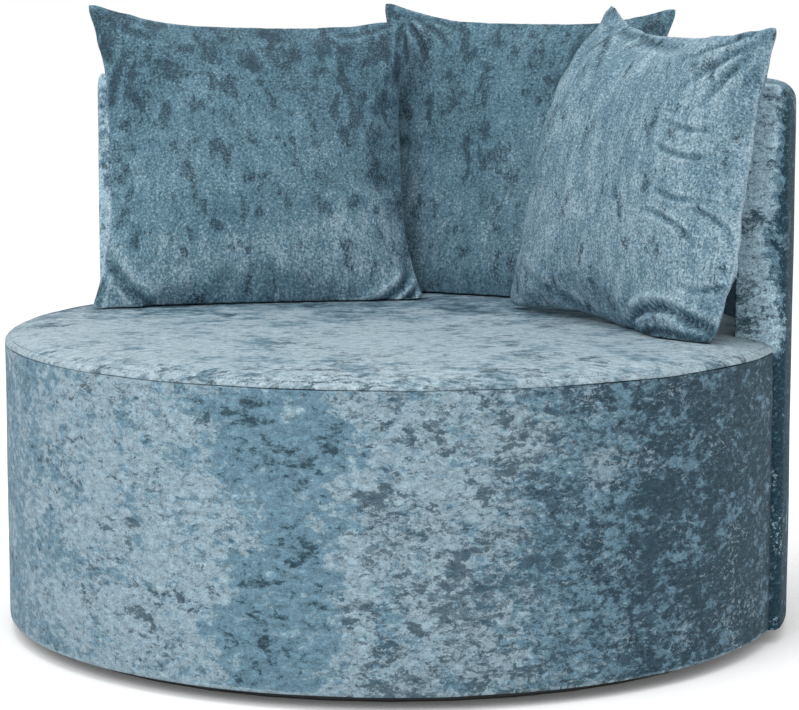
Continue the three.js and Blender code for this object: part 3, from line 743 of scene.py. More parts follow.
def nearness(across: np.ndarray, up: np.ndarray, spot: "Union[Swell, Pull]") -> np.ndarray:
    """Return 1 at the place of a swelling or a pull, falling off to 0 over its size."""
    away = ((across - spot.place[0]) / spot.size[0]) ** 2 + ((up - spot.place[1]) / spot.size[1]) ** 2
    return np.exp(-away)


def mesh_points(mesh: bpy.types.Mesh) -> np.ndarray:
    """Return the places of a mesh's vertices, one row each."""
    spots = np.empty(len(mesh.vertices) * 3, np.float64)
    mesh.vertices.foreach_get("co", spots)
    return spots.reshape(-1, 3)


def lay_cloth(piece: bpy.types.Object, spread: Spread) -> None:
    """Give a piece its cloth map in metres, from where each vertex is."""
    mesh = piece.data
    layer = mesh.uv_layers.get(CLOTH_MAP) or mesh.uv_layers.new(name=CLOTH_MAP)
    spots = [spread(v.co) for v in mesh.vertices]
    layer.data.foreach_set("uv", np.array([spots[l.vertex_index] for l in mesh.loops], np.float32).ravel())


def along_drum(point: Vector) -> tuple[float, float]:
    """Spread the drum's front: along the rim from the left end of the back, and up."""
    angle = degrees_of(point)
    if angle < 90.0:
        angle += 360.0
    return math.radians(angle - 180.0) * DRUM_RADIUS, point.z + (DRUM_RADIUS - math.hypot(point.x, point.y))


def across_seat(point: Vector) -> tuple[float, float]:
    """Spread the seat's top, turned so that its bands lie square to the front right."""
    turn = math.radians(27.5)
    fall = 1.0 - 1.5 * (SEAT_TOP - point.z)
    x, y = point.x / fall, point.y / fall
    return x * math.cos(turn) + y * math.sin(turn), y * math.cos(turn) - x * math.sin(turn)


def along_back(point: Vector) -> tuple[float, float]:
    """Spread the back: along the arc from its right end, round its ends, and up over the top."""
    radius, angle = math.hypot(point.x, point.y), degrees_of(point)
    nearer = min(angle - BACK_END, 180.0 - BACK_END - angle)
    depth = radius * math.sin(math.radians(nearer))
    share = min(1.0, max(0.0, 1.0 - depth / BACK_CORNER))
    across = share * (BACK_RADIUS - radius) * (1.0 if angle > 90.0 else -1.0)
    over = (1.0 - share) * (BACK_RADIUS - radius) * (1.0 if point.z > 0.5 else -1.0)
    return DRUM_RADIUS * math.radians(angle) + across + BACK_MAP_START, point.z + over


def ruffle(shape: bmesh.types.BMesh, depth: float, size: float, seed: float, flat: float = 1.0) -> None:
    """Move vertices along their normals by smooth noise.

    Args:
        shape: the bmesh.
        depth: the most that a vertex moves, in metres.
        size: how far apart the waves are, in metres.
        seed: a place in the noise.
        flat: how much longer the waves are upright than across.
    """
    shape.normal_update()
    for vertex in shape.verts:
        if vertex.is_boundary:
            continue
        at = Vector((vertex.co.x, vertex.co.y, vertex.co.z / flat)) / size + Vector((seed, seed, seed))
        vertex.co += vertex.normal * (depth * noise.noise(at))


def finish_with(piece: bpy.types.Object, smooth: int = 0, wall: float = 0.0) -> None:
    """Add a wall inwards and levels of subdivision to a piece, as live modifiers."""
    if wall:
        solid = piece.modifiers.new("wall", "SOLIDIFY")
        solid.thickness, solid.offset, solid.use_even_offset = wall, -1.0, False
    if smooth:
        finer = piece.modifiers.new("smooth", "SUBSURF")
        finer.levels = finer.render_levels = smooth


def dress(piece: bpy.types.Object, finish: Finish, slot: str, body: str, *nodes: str) -> bpy.types.Object:
    """Give a piece its material and body, and let it stand for CAD nodes."""
    piece.data.materials.clear()
    piece.data.materials.append(finish.material())
    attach(piece, body)
    if nodes:
        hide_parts(*nodes)
    LOG.info("%s rides on %s", piece.name, body)
    return piece


def cover_of(name: str, shape: bmesh.types.BMesh, spread: Spread, wall: float,
             smooth: int = 0) -> bpy.types.Object:
    """Turn a bmesh into a cover with its cloth map and its thickness.

    Args:
        name: the piece's name.
        shape: the bmesh, which is freed.
        spread: how its points lie on the cloth.
        wall: the cloth's thickness.
        smooth: its levels of subdivision.

    Returns:
        The new object.
    """
    piece = piece_of(name, shape)
    lay_cloth(piece, spread)
    finish_with(piece, smooth, wall)
    return piece


def stitched(name: str, places: Iterable[tuple[Vector, Vector, Vector]], length: float = 0.0034,
             thick: float = 0.0009) -> bpy.types.Object:
    """Make a row of stitches.

    Args:
        name: the piece's name.
        places: for each stitch its middle, the way it runs and the way out of the cloth.
        length: a stitch's length.
        thick: its thickness.

    Returns:
        One object that holds every stitch.
    """
    one = bmesh.new()
    bmesh.ops.create_uvsphere(one, u_segments=6, v_segments=4, radius=0.5)
    bmesh.ops.scale(one, vec=(thick, thick, length), verts=one.verts)
    single = bpy.data.meshes.new(name + "_one")
    one.to_mesh(single)
    one.free()
    row = bmesh.new()
    for middle, run, out in places:
        run = run.normalized()
        across = run.cross(out).normalized()
        lift = across.cross(run)
        before = len(row.verts)
        row.from_mesh(single)
        row.verts.ensure_lookup_table()
        turn = Matrix((across, lift, run)).transposed().to_4x4()
        bmesh.ops.transform(row, matrix=Matrix.Translation(middle) @ turn, verts=row.verts[before:])
    bpy.data.meshes.remove(single)
    bmesh.ops.recalc_face_normals(row, faces=row.faces)
    return piece_of(name, row)


def row_round(radius: float, height: float, start: float, end: float, pitch: float,
              out: tuple[float, float]) -> list[tuple[Vector, Vector, Vector]]:
    """Return stitch places round the chair's axis, with their way out as (radial, up)."""
    count = int(math.radians(abs(end - start)) * radius / pitch)
    places = []
    for i in range(count):
        angle = start + (end - start) * (i + 0.5) / count
        radial, ahead = polar(1.0, angle, 0.0), polar(1.0, angle + 90.0, 0.0)
        places.append((polar(radius, angle, height), ahead, radial * out[0] + Vector((0, 0, out[1]))))
    return places


# ---------------------------------------------------------------------------- plinth and frame


@dataclass
class Undercarriage:
    """The plinth on its glides, with the ball-bearing turntable that the seat turns on."""

    dark_parts: tuple[str, ...] = ("plinth_board",)
    glides: int = 6
    screws: int = 4

    def dress(self) -> None:
        """Give the CAD parts their finishes."""
        plan = {name: Finishes.PLINTH for name in self.dark_parts}
        plan |= {f"glide_{i + 1}": Finishes.NYLON for i in range(self.glides)}
        plan |= {f"{row}_screw_{i + 1}": Finishes.ZINC
                 for row in ("lower", "upper") for i in range(self.screws)}
        plan |= {"bearing_lower_plate": Finishes.ZINC, "bearing_upper_plate": Finishes.ZINC,
                 "bearing_cage": Finishes.STEEL}
        dress_nodes(plan)


@dataclass
class Carcass:
    """The turning wooden frame with its boards and zigzag springs."""

    posts: int = 4
    springs: int = 5

    def dress(self) -> None:
        """Give the CAD parts their finishes."""
        plan = {name: Finishes.PLYWOOD for name in ("base_deck", "seat_ring", "back_top_rail")}
        plan |= {f"{row}_post_{i + 1}": Finishes.PLYWOOD
                 for row in ("front", "back") for i in range(self.posts)}
        plan |= {f"{name}_board": Finishes.HARDBOARD for name in ("drum_side", "back_outer", "back_inner")}
        plan |= {f"spring_{i + 1}": Finishes.STEEL for i in range(self.springs)}
        dress_nodes(plan)


def dress_nodes(plan: dict[str, Finish]) -> None:
    """Put a finish on every material slot of each CAD node that a plan names."""
    for name, finish in plan.items():
        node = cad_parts[name]
        if not node.material_slots:
            node.data.materials.append(finish.material())
        for slot in node.material_slots:
            slot.material = finish.material()
        LOG.info("%s gets %s", node.name, finish.name)


# ------------------------------------------------------------------------------ inner padding


@dataclass
class Layer:
    """One soft layer of the upholstery: a closed section turned part of the way round."""

    name: str
    node: str
    section: tuple[tuple[float, float], ...]
    finish: Finish
    slot: str
    start: float = 0.0
    sweep: float = 360.0
    fill: float = 0.9
    steps: int = 72

    def build(self) -> bpy.types.Object:
        touches_axis = any(r == 0.0 for r, _ in self.section)
        shape = turned(self.section, self.start, self.sweep, self.steps, closed=not touches_axis)
        ruffle(shape, 0.0002, 0.05, 3.0)
        piece = piece_of(self.name, shape)
        lay_cloth(piece, lambda p: (p.x + p.y, p.z))
        dress(piece, self.finish, self.slot, "chair", self.node)
        return piece


@dataclass
class Padding:
    """Everything soft between the boards and the covers."""

    end_angle: float = BACK_END
    gap: float = 0.22
    end_block: float = 0.022
    layers: list[Layer] = field(default_factory=list)

    def build(self) -> None:
        """Lay the felt and foam of the seat, and the wadding and foam of the sides."""
        back_start, back_sweep = self.end_angle + self.gap, 180.0 - 2.0 * (self.end_angle + self.gap)
        front = 180.0 - self.end_angle + 0.05, 180.0 + 2.0 * self.end_angle - 0.1
        end = math.degrees(self.end_block / DRUM_RADIUS)
        between_ends = self.end_angle + end, 180.0 - 2.0 * (self.end_angle + end)
        arc = tuple((0.583 + 0.029 * math.cos(t), 0.809 + 0.029 * math.sin(t))
                    for t in (math.radians(15.0 * i) for i in range(7)))
        crown = ((0.5902, 0.4440), (0.5942, 0.4480), (0.5890, 0.4518), (0.5762, 0.4562), (0.5583, 0.4592),
                 (0.5370, 0.4612), (0.44, 0.4642), (0.22, 0.4654))
        self.layers = [
            Layer("seat_felt", "spring_pad", ((0.0, 0.3247), (0.537, 0.3247), (0.5378, 0.3262),
                  (0.5378, 0.3331), (0.537, 0.3345), (0.0, 0.3345)), Finishes.FELT, "felt"),
            Layer("seat_foam_front", "seat_foam", ((0.5455, 0.3186), (0.5855, 0.3186), (0.5855, 0.4410),
                  *crown[:5], (0.5455, 0.4606)), Finishes.FOAM, "foam", *front),
            Layer("seat_foam_core", "seat_foam", ((0.0, 0.3350), (0.5370, 0.3350), *crown[5:],
                  (0.0, 0.4656)), Finishes.FOAM, "foam"),
            Layer("drum_wadding", "drum_padding", ((0.5905, 0.0222), (0.5978, 0.0222), (0.5978, 0.4408),
                  (0.5905, 0.4408)), Finishes.WADDING, "wadding", *front),
            Layer("back_wadding", "back_padding", ((0.5905, 0.0222), (0.6118, 0.0222), *arc,
                  (0.5424, 0.8380), (0.5424, 0.8126), (0.5905, 0.8126)), Finishes.WADDING, "wadding",
                  *between_ends),
            Layer("back_inner_padding", "back_inner_foam", ((0.5421, 0.3186), (0.5620, 0.3186),
                  (0.5620, 0.8119), (0.5421, 0.8119)), Finishes.FOAM, "foam", *between_ends),
        ]
        block = ((0.5424, 0.3190), (0.5900, 0.3190), (0.5905, 0.0222), (0.5935, 0.0222), (0.5935, 0.8260),
                 (0.5880, 0.8340), (0.5780, 0.8376), (0.5424, 0.8376))
        for side, start in (("right", back_start), ("left", back_start + back_sweep - end + 2.0 * self.gap)):
            self.layers.append(Layer(f"back_end_wadding_{side}", "back_padding", block, Finishes.WADDING,
                                     "wadding", start, end - 2.0 * self.gap, steps=3))
        for layer in self.layers:
            layer.build()
        self.dust_sheet()

    def dust_sheet(self) -> None:
        """Stretch the black lining under the deck, with a slight sag between its staples."""
        shape = turned(tuple((r, 0.0349) for r in (0.2, 0.28, 0.36, 0.44, 0.52, 0.5834)), 0.0, 360.0, 96)
        ruffle(shape, 0.0004, 0.05, 9.0)
        piece = cover_of("dust_sheet", shape, lambda p: (p.x, p.y), 0.0006)
        dress(piece, Finishes.LINING, "lining", "chair", "dust_cover")


# ------------------------------------------------------------------------------- drum covers


@dataclass
class SeatCover:
    """The seat's round top: a crowned velvet cover with a rolled edge, sewn to the drum's side."""

    inner: float = 0.5394
    end_angle: float = BACK_END
    clearance: float = 0.0005
    roll: tuple[tuple[float, float], ...] = (
        (0.5925, 0.4431), (0.5972, 0.4431), (0.5990, 0.4435), (0.5998, 0.4449),
        (0.5993, 0.4474), (0.5966, 0.4507), (0.5918, 0.4539), (0.5850, 0.4568),
        (0.5760, 0.4593), (0.5640, 0.4614), (0.5520, 0.4629), (0.5394, 0.4641))
    crown: tuple[tuple[float, float], ...] = (
        (0.5394, 0.4641), (0.515, 0.4653), (0.48, 0.4664), (0.42, 0.4673), (0.34, 0.4678), (0.26, 0.468),
        (0.17, 0.468), (0.08, 0.468), (0.0, 0.468))
    finish: Velvet = Velvet(
        "seat_velvet", run=Run.UP,
        # the ground darkens towards the back, from 0.06 m on: painted shade under the cushions, with the pile
        # pressed flat there
        bands=((-0.62, 0.78, 0.66, 0.5), (-0.45, 0.88, 0.50, 0.6), (-0.20, 0.93, 0.40, 0.7),
               (-0.05, 0.80, 0.45, 0.5), (0.06, 0.62, 0.50, 0.4), (0.18, 0.44, 0.5, 0.3),
               (0.6, 0.40, 0.5, 0.3)),
        amount=2.8, grain=1.1, soft=0.22, wander=0.03, seed=2.3, middle=(0.115, 0.19, 0.235, 1.0),
        light=(0.275, 0.355, 0.395, 1.0))

    def build(self) -> None:
        """Turn the crown and the front roll, weld them and stitch the edge."""
        steps, open_sweep = 240, 180.0 + 2.0 * self.end_angle
        shape = turned(self.crown, self.end_angle, 360.0, steps)
        front = turned(self.roll, 180.0 - self.end_angle, open_sweep, round(steps * open_sweep / 360.0))
        spare = bpy.data.meshes.new("front_roll")
        front.to_mesh(spare)
        front.free()
        shape.from_mesh(spare)
        bpy.data.meshes.remove(spare)
        bmesh.ops.remove_doubles(shape, verts=shape.verts, dist=1e-5)
        bmesh.ops.recalc_face_normals(shape, faces=shape.faces)
        for vertex in shape.verts:
            radius, angle = math.hypot(vertex.co.x, vertex.co.y), degrees_of(vertex.co)
            away = min(abs(angle - self.end_angle), abs(angle - 180.0 + self.end_angle))
            if radius > 0.5 and away < 0.01:
                vertex.co.y -= self.clearance
        ruffle(shape, 0.0014, 0.09, 1.0)
        piece = cover_of("seat_top_cover", shape, across_seat, 0.0016)
        dress(piece, self.finish, "velvet", "chair", "seat_cover")
        first, last = 180.0 - self.end_angle + 0.3, 360.0 + self.end_angle - 0.3
        row = row_round(0.5930, 0.4534, first, last, 0.0052, (0.7, 0.7))
        stitches = stitched("seat_edge_stitches", row)
        dress(stitches, Finishes.THREAD, "velvet", "chair")


def seat_height(radius: np.ndarray) -> np.ndarray:
    """Return how high the seat's cover lies at each distance from the axis."""
    line = sorted(set(SeatCover.crown + SeatCover.roll[4:]))
    return np.interp(radius, [r for r, _ in line], [z for _, z in line])


@dataclass
class DrumCover:
    """The velvet side of the drum, from the rim seam to the hem under the deck."""

    radius: float = DRUM_RADIUS
    end_angle: float = BACK_END
    finish: Velvet = Velvet(
        "drum_velvet",
        # the ground falls low past 1.45 m: partly the velvet's own dark crushed zone, partly painted shade on
        # the side turned from the key light
        bands=((-0.09, 0.52, 0.25, 0.3), (0.50, 0.58, 0.40, 0.55), (0.62, 0.66, 0.45, 0.60),
               (0.74, 0.80, 0.50, 0.50), (0.93, 0.82, 0.60, 0.45), (0.985, 0.70, 0.55, 0.45),
               (1.02, 0.44, 0.12, 0.15), (1.13, 0.42, 0.12, 0.15), (1.17, 0.72, 0.70, 0.5),
               (1.26, 0.84, 0.94, 0.60), (1.37, 0.77, 1.06, 0.70), (1.45, 0.56, 1.12, 0.80),
               (1.54, 0.32, 1.00, 0.60), (1.64, 0.17, 0.80, 0.50), (1.98, 0.13, 0.6, 0.45)),
        amount=1.6, wander=0.04, seed=0.0, light=(0.208, 0.286, 0.328, 1.0), dark=(0.024, 0.05, 0.068, 1.0),
        # painted highlight on the rounded bottom edge of the hem
        lit=((0.027, 0.023, 0.6),))

    def build(self) -> None:
        """Turn the panel with its tucked-in top edge, turned-under hem and lip."""
        r = self.radius
        rise = [0.437 - 0.4105 * i / 11 for i in range(12)]
        line = [(r - 0.0080, 0.4428), (r - 0.0028, 0.4428), (r - 0.0008, 0.4424), (r - 0.0001, 0.4410),
                *[(r, z) for z in rise], (r - 0.0006, 0.0226), (r - 0.0022, 0.0206),
                (r - 0.0050, 0.0202), (r - 0.0160, 0.0202), (r - 0.0160, 0.0278), (r - 0.0160, 0.0355)]
        start, sweep = 180.0 - self.end_angle + 0.03, 180.0 + 2.0 * self.end_angle - 0.06
        shape = turned(line, start, sweep, 130)
        ruffle(shape, 0.0010, 0.11, 4.0, 1.4)
        piece = cover_of("drum_side_cover", shape, along_drum, 0.0014)
        dress(piece, self.finish, "velvet", "chair", "drum_front_cover")


@dataclass
class BackCovers:
    """The velvet of the back: outside, over the top and across both ends, and the inner face.

    The outer cover ends at the edge on the inner face, and lower, at the end edge, on both ends.
    The round end is the point of its section at which the rounding over the top ends.
    """

    outer: float = BACK_RADIUS
    inner: float = 0.5402
    top: float = 0.840
    edge: float = 0.8372
    end_edge: float = 0.7822
    seat: float = 0.318
    top_radius: float = 0.029
    round_end: int = 13
    corner: float = BACK_CORNER
    hem: float = 0.0202
    lip: float = 0.584
    end_angle: float = BACK_END
    outside: Velvet = Velvet(
        "back_velvet",
        # the ground drops past the right end's corner, from 3.073 m on: partly the velvet's own dark zone,
        # partly painted shade on the outside turned from the key light
        bands=((2.98, 1.00, 0.62, 0.9), (3.056, 0.98, 0.72, 0.9), (3.073, 0.46, 0.8, 0.7),
               (3.089, 0.06, 0.7, 0.35), (3.5, 0.22, 0.7, 0.5), (3.9, 0.70, 0.72, 0.55),
               (4.4, 0.45, 0.7, 0.6), (4.75, 0.72, 0.5, 0.5), (4.88, 0.72, 0.5, 0.5)),
        # the lit stretch is a painted highlight along the top's rounded edge
        amount=1.6, wander=0.008, grain=2.8, seed=5.1, hem=True, lit=((0.826, 0.850, 0.45),), shine=0.06,
        light=(0.300, 0.425, 0.492, 1.0), dark=(0.015, 0.040, 0.057, 1.0))
    inside: Velvet = Velvet(
        "back_inner_velvet", nap=Nap.BRUSHED,
        bands=((3.0, 0.42, 0.5, 0.3), (3.9, 0.5, 0.5, 0.4), (4.9, 0.42, 0.5, 0.3)), amount=0.9, seed=8.4)

    def section(self) -> list[tuple[float, float]]:
        """Return the outline from the inner top edge, over the top and down to the lip."""
        flat_start, flat_end = self.inner + 0.004, self.outer - self.top_radius
        line = [(self.inner, self.edge), (self.inner + 0.0008, 0.8391), (flat_start, self.top)]
        line += [(flat_start + (flat_end - self.inner - 0.004) * i / 4, self.top) for i in range(1, 4)]
        for i in range(8):
            turn = math.radians(90.0 - 90.0 * i / 7)
            line.append((flat_end + self.top_radius * math.cos(turn),
                         self.top - self.top_radius + self.top_radius * math.sin(turn)))
        low, high = 0.0240, self.top - self.top_radius
        line += [(self.outer, high + (low - high) * i / 22) for i in range(1, 23)]
        return line + [(self.outer - 0.0008, 0.0214), (self.outer - 0.003, self.hem), (self.lip, self.hem),
                       (self.lip, 0.0355)]

    def build(self) -> None:
        """Build the outer and the inner cover, with their seams."""
        self.build_outer()
        self.build_inner()
        self.stitch()

    def end_strip(self, shape: bmesh.types.BMesh, start: list, angle: float, sign: float) -> None:
        """Carry the cover round one outer corner and across one end of the back.

        Args:
            shape: the bmesh of the outer cover.
            start: the vertices of the section at this end, in order.
            angle: the end's angle in degrees.
            sign: 1 where the back lies to the left of the end, -1 where it lies to the right.
        """
        along = polar(1.0, angle, 0.0)
        into = polar(1.0, angle + 90.0 * sign, 0.0)
        line = self.section()
        run = [0.0]
        for a, b in zip(line, line[1:]):
            run.append(run[-1] + math.dist(a, b))
        bend = run[self.round_end]
        rounding = [min(self.corner, max(0.0, r - self.outer + self.corner)) for r, _ in line]

        def at(radius: float, depth: float, height: float) -> Vector:
            return along * radius + into * depth + Vector((0.0, 0.0, height))

        for vertex, (r, z), round_off in zip(start, line, rounding):
            vertex.co = at(math.sqrt(max(0.0, r * r - round_off * round_off)), round_off, z)
        rings = []
        for step in range(1, 6):
            turn = math.radians(90.0 * step / 5)
            rings.append([at(r - c + c * math.cos(turn), c - c * math.sin(turn), z)
                          for (r, z), c in zip(line, rounding)])
        ends = []
        for (r, z), length in zip(line, run):
            if length <= bend:
                ends.append((self.inner, self.edge - (self.edge - self.end_edge) * length / bend))
            elif z > self.seat:
                share = (z - self.seat) / (line[self.round_end][1] - self.seat)
                ends.append((self.inner, self.seat + (self.end_edge - self.seat) * share))
            else:
                ends.append((self.lip, max(z, self.hem + 0.001)))
        for share in (0.25, 0.5, 0.75, 1.0):
            ring = []
            for (r, z), c, (er, ez) in zip(line, rounding, ends):
                ring.append(at(r - c + (er - r + c) * share, 0.0, z + (ez - z) * share))
            rings.append(ring)
        current = start
        for ring in rings:
            edges = [shape.edges.get((a, b)) for a, b in zip(current, current[1:])]
            made = bmesh.ops.extrude_edge_only(shape, edges=edges)["geom"]
            fresh = [g for g in made if isinstance(g, bmesh.types.BMVert)]
            order = []
            for old in current:
                order.append(next(v for v in fresh
                                  if (v.co - old.co).length < 1e-9 and shape.edges.get((old, v))))
            for vertex, place in zip(order, ring):
                vertex.co = place
            current = order

    def build_outer(self) -> None:
        """Turn the outer cover and close its two ends."""
        line = self.section()
        inset = math.degrees(self.corner / self.outer) + 0.6
        first, sweep = self.end_angle + inset, 180.0 - 2.0 * (self.end_angle + inset)
        shape = bmesh.new()
        verts = [shape.verts.new(polar(r, first, z)) for r, z in line]
        edges = [shape.edges.new(pair) for pair in zip(verts, verts[1:])]
        made = bmesh.ops.spin(shape, geom=verts + edges, cent=(0, 0, 0), axis=(0, 0, 1), steps=84,
                              angle=math.radians(sweep), use_merge=False, use_duplicate=False)["geom_last"]
        last = sorted((v for v in made if isinstance(v, bmesh.types.BMVert)), key=lambda v: v.index)
        last = [min(last, key=lambda v, r=r, z=z: abs(math.hypot(v.co.x, v.co.y) - r) + abs(v.co.z - z))
                for r, z in line]
        for chain, angle, sign in ((verts, self.end_angle, 1.0), (last, 180.0 - self.end_angle, -1.0)):
            edges = [shape.edges.get((a, b)) for a, b in zip(chain, chain[1:])]
            made = bmesh.ops.extrude_edge_only(shape, edges=edges)["geom"]
            fresh = [g for g in made if isinstance(g, bmesh.types.BMVert)]
            order = [next(v for v in fresh if shape.edges.get((old, v))) for old in chain]
            self.end_strip(shape, order, angle, sign)
        bmesh.ops.remove_doubles(shape, verts=shape.verts, dist=1e-5)
        bmesh.ops.recalc_face_normals(shape, faces=shape.faces)
        ruffle(shape, 0.0012, 0.10, 6.0, 1.3)
        piece = cover_of("back_outside_cover", shape, along_back, 0.0014, 1)
        # painted shade on the back's right end, below the seat's rim
        mark(piece.data, PAINTED_SHADE, [1.5 if self.on_low_end(v.co) else 0.0 for v in piece.data.vertices])
        dress(piece, self.outside, "velvet", "chair", "back_outer_cover")

    def on_low_end(self, point: Vector) -> bool:
        """Tell whether a point is on the right end of the back, below the seat's rim."""
        return point.z < 0.44 and point.x > 0.55 and point.y < 0.105

    def build_inner(self) -> None:
        """Turn the inner cover, with faint upright pulls."""
        rise = [0.3190 + (0.8371 - 0.3190) * i / 16 for i in range(17)]
        gap = math.degrees(0.0020 / self.inner)
        start = self.end_angle + gap
        shape = turned([(self.inner + 0.0002, z) for z in rise], start, 180.0 - 2.0 * start, 110)
        for face in shape.faces:
            middle = face.calc_center_median()
            if face.normal.dot(Vector((middle.x, middle.y, 0.0))) > 0.0:
                face.normal_flip()
        ruffle(shape, 0.0006, 0.05, 2.0, 4.0)
        piece = cover_of("back_inside_cover", shape, along_back, 0.0012)
        dress(piece, self.inside, "velvet", "chair", "back_inner_cover")

    def stitch(self) -> None:
        """Sew the inner edge of both ends, and the inner top edge."""
        places = row_round(self.inner + 0.0046, self.top + 0.0002, self.end_angle + 0.5,
                           179.5 - self.end_angle, 0.0056, (0.0, 1.0))
        for angle, sign in ((self.end_angle, 1.0), (180.0 - self.end_angle, -1.0)):
            out = polar(1.0, angle - 90.0 * sign, 0.0)
            for i in range(66):
                place = polar(self.inner + 0.0044, angle, 0.470 + i * 0.0055) + out * 0.0003
                places.append((place, Vector((0, 0, 1)), out))
        dress(stitched("back_edge_stitches", places), Finishes.THREAD, "velvet", "chair")


# ------------------------------------------------------------------------------ loose cushions


@dataclass(frozen=True)
class Fold:
    """A crease set into the front of a cushion, along a curve through three points; its valley gets painted
    shade and its shoulders a painted highlight.

    The points are metres across and up from the cushion's middle.
    """

    start: tuple[float, float]
    through: tuple[float, float]
    end: tuple[float, float]
    width: float = 0.006
    depth: float = 0.004

    def points(self, count: int = 25) -> np.ndarray:
        """Return points along the curve."""
        t = np.linspace(0.0, 1.0, count)[:, None]
        a, m, b = (np.array(p) for p in (self.start, self.through, self.end))
        control = 2.0 * m - 0.5 * (a + b)
        return (1 - t) ** 2 * a + 2 * t * (1 - t) * control + t ** 2 * b


@dataclass(frozen=True)
class Swell:
    """A soft swelling or hollow on the front of a cushion, with painted shade on it by a share."""

    place: tuple[float, float]
    size: tuple[float, float]
    height: float
    painted_shade_share: float = 0.0


@dataclass(frozen=True)
class Pull:
    """A place on a cushion, in shares across and up, that is drawn away as it stands or sags."""

    place: tuple[float, float]
    size: tuple[float, float]
    move: Point


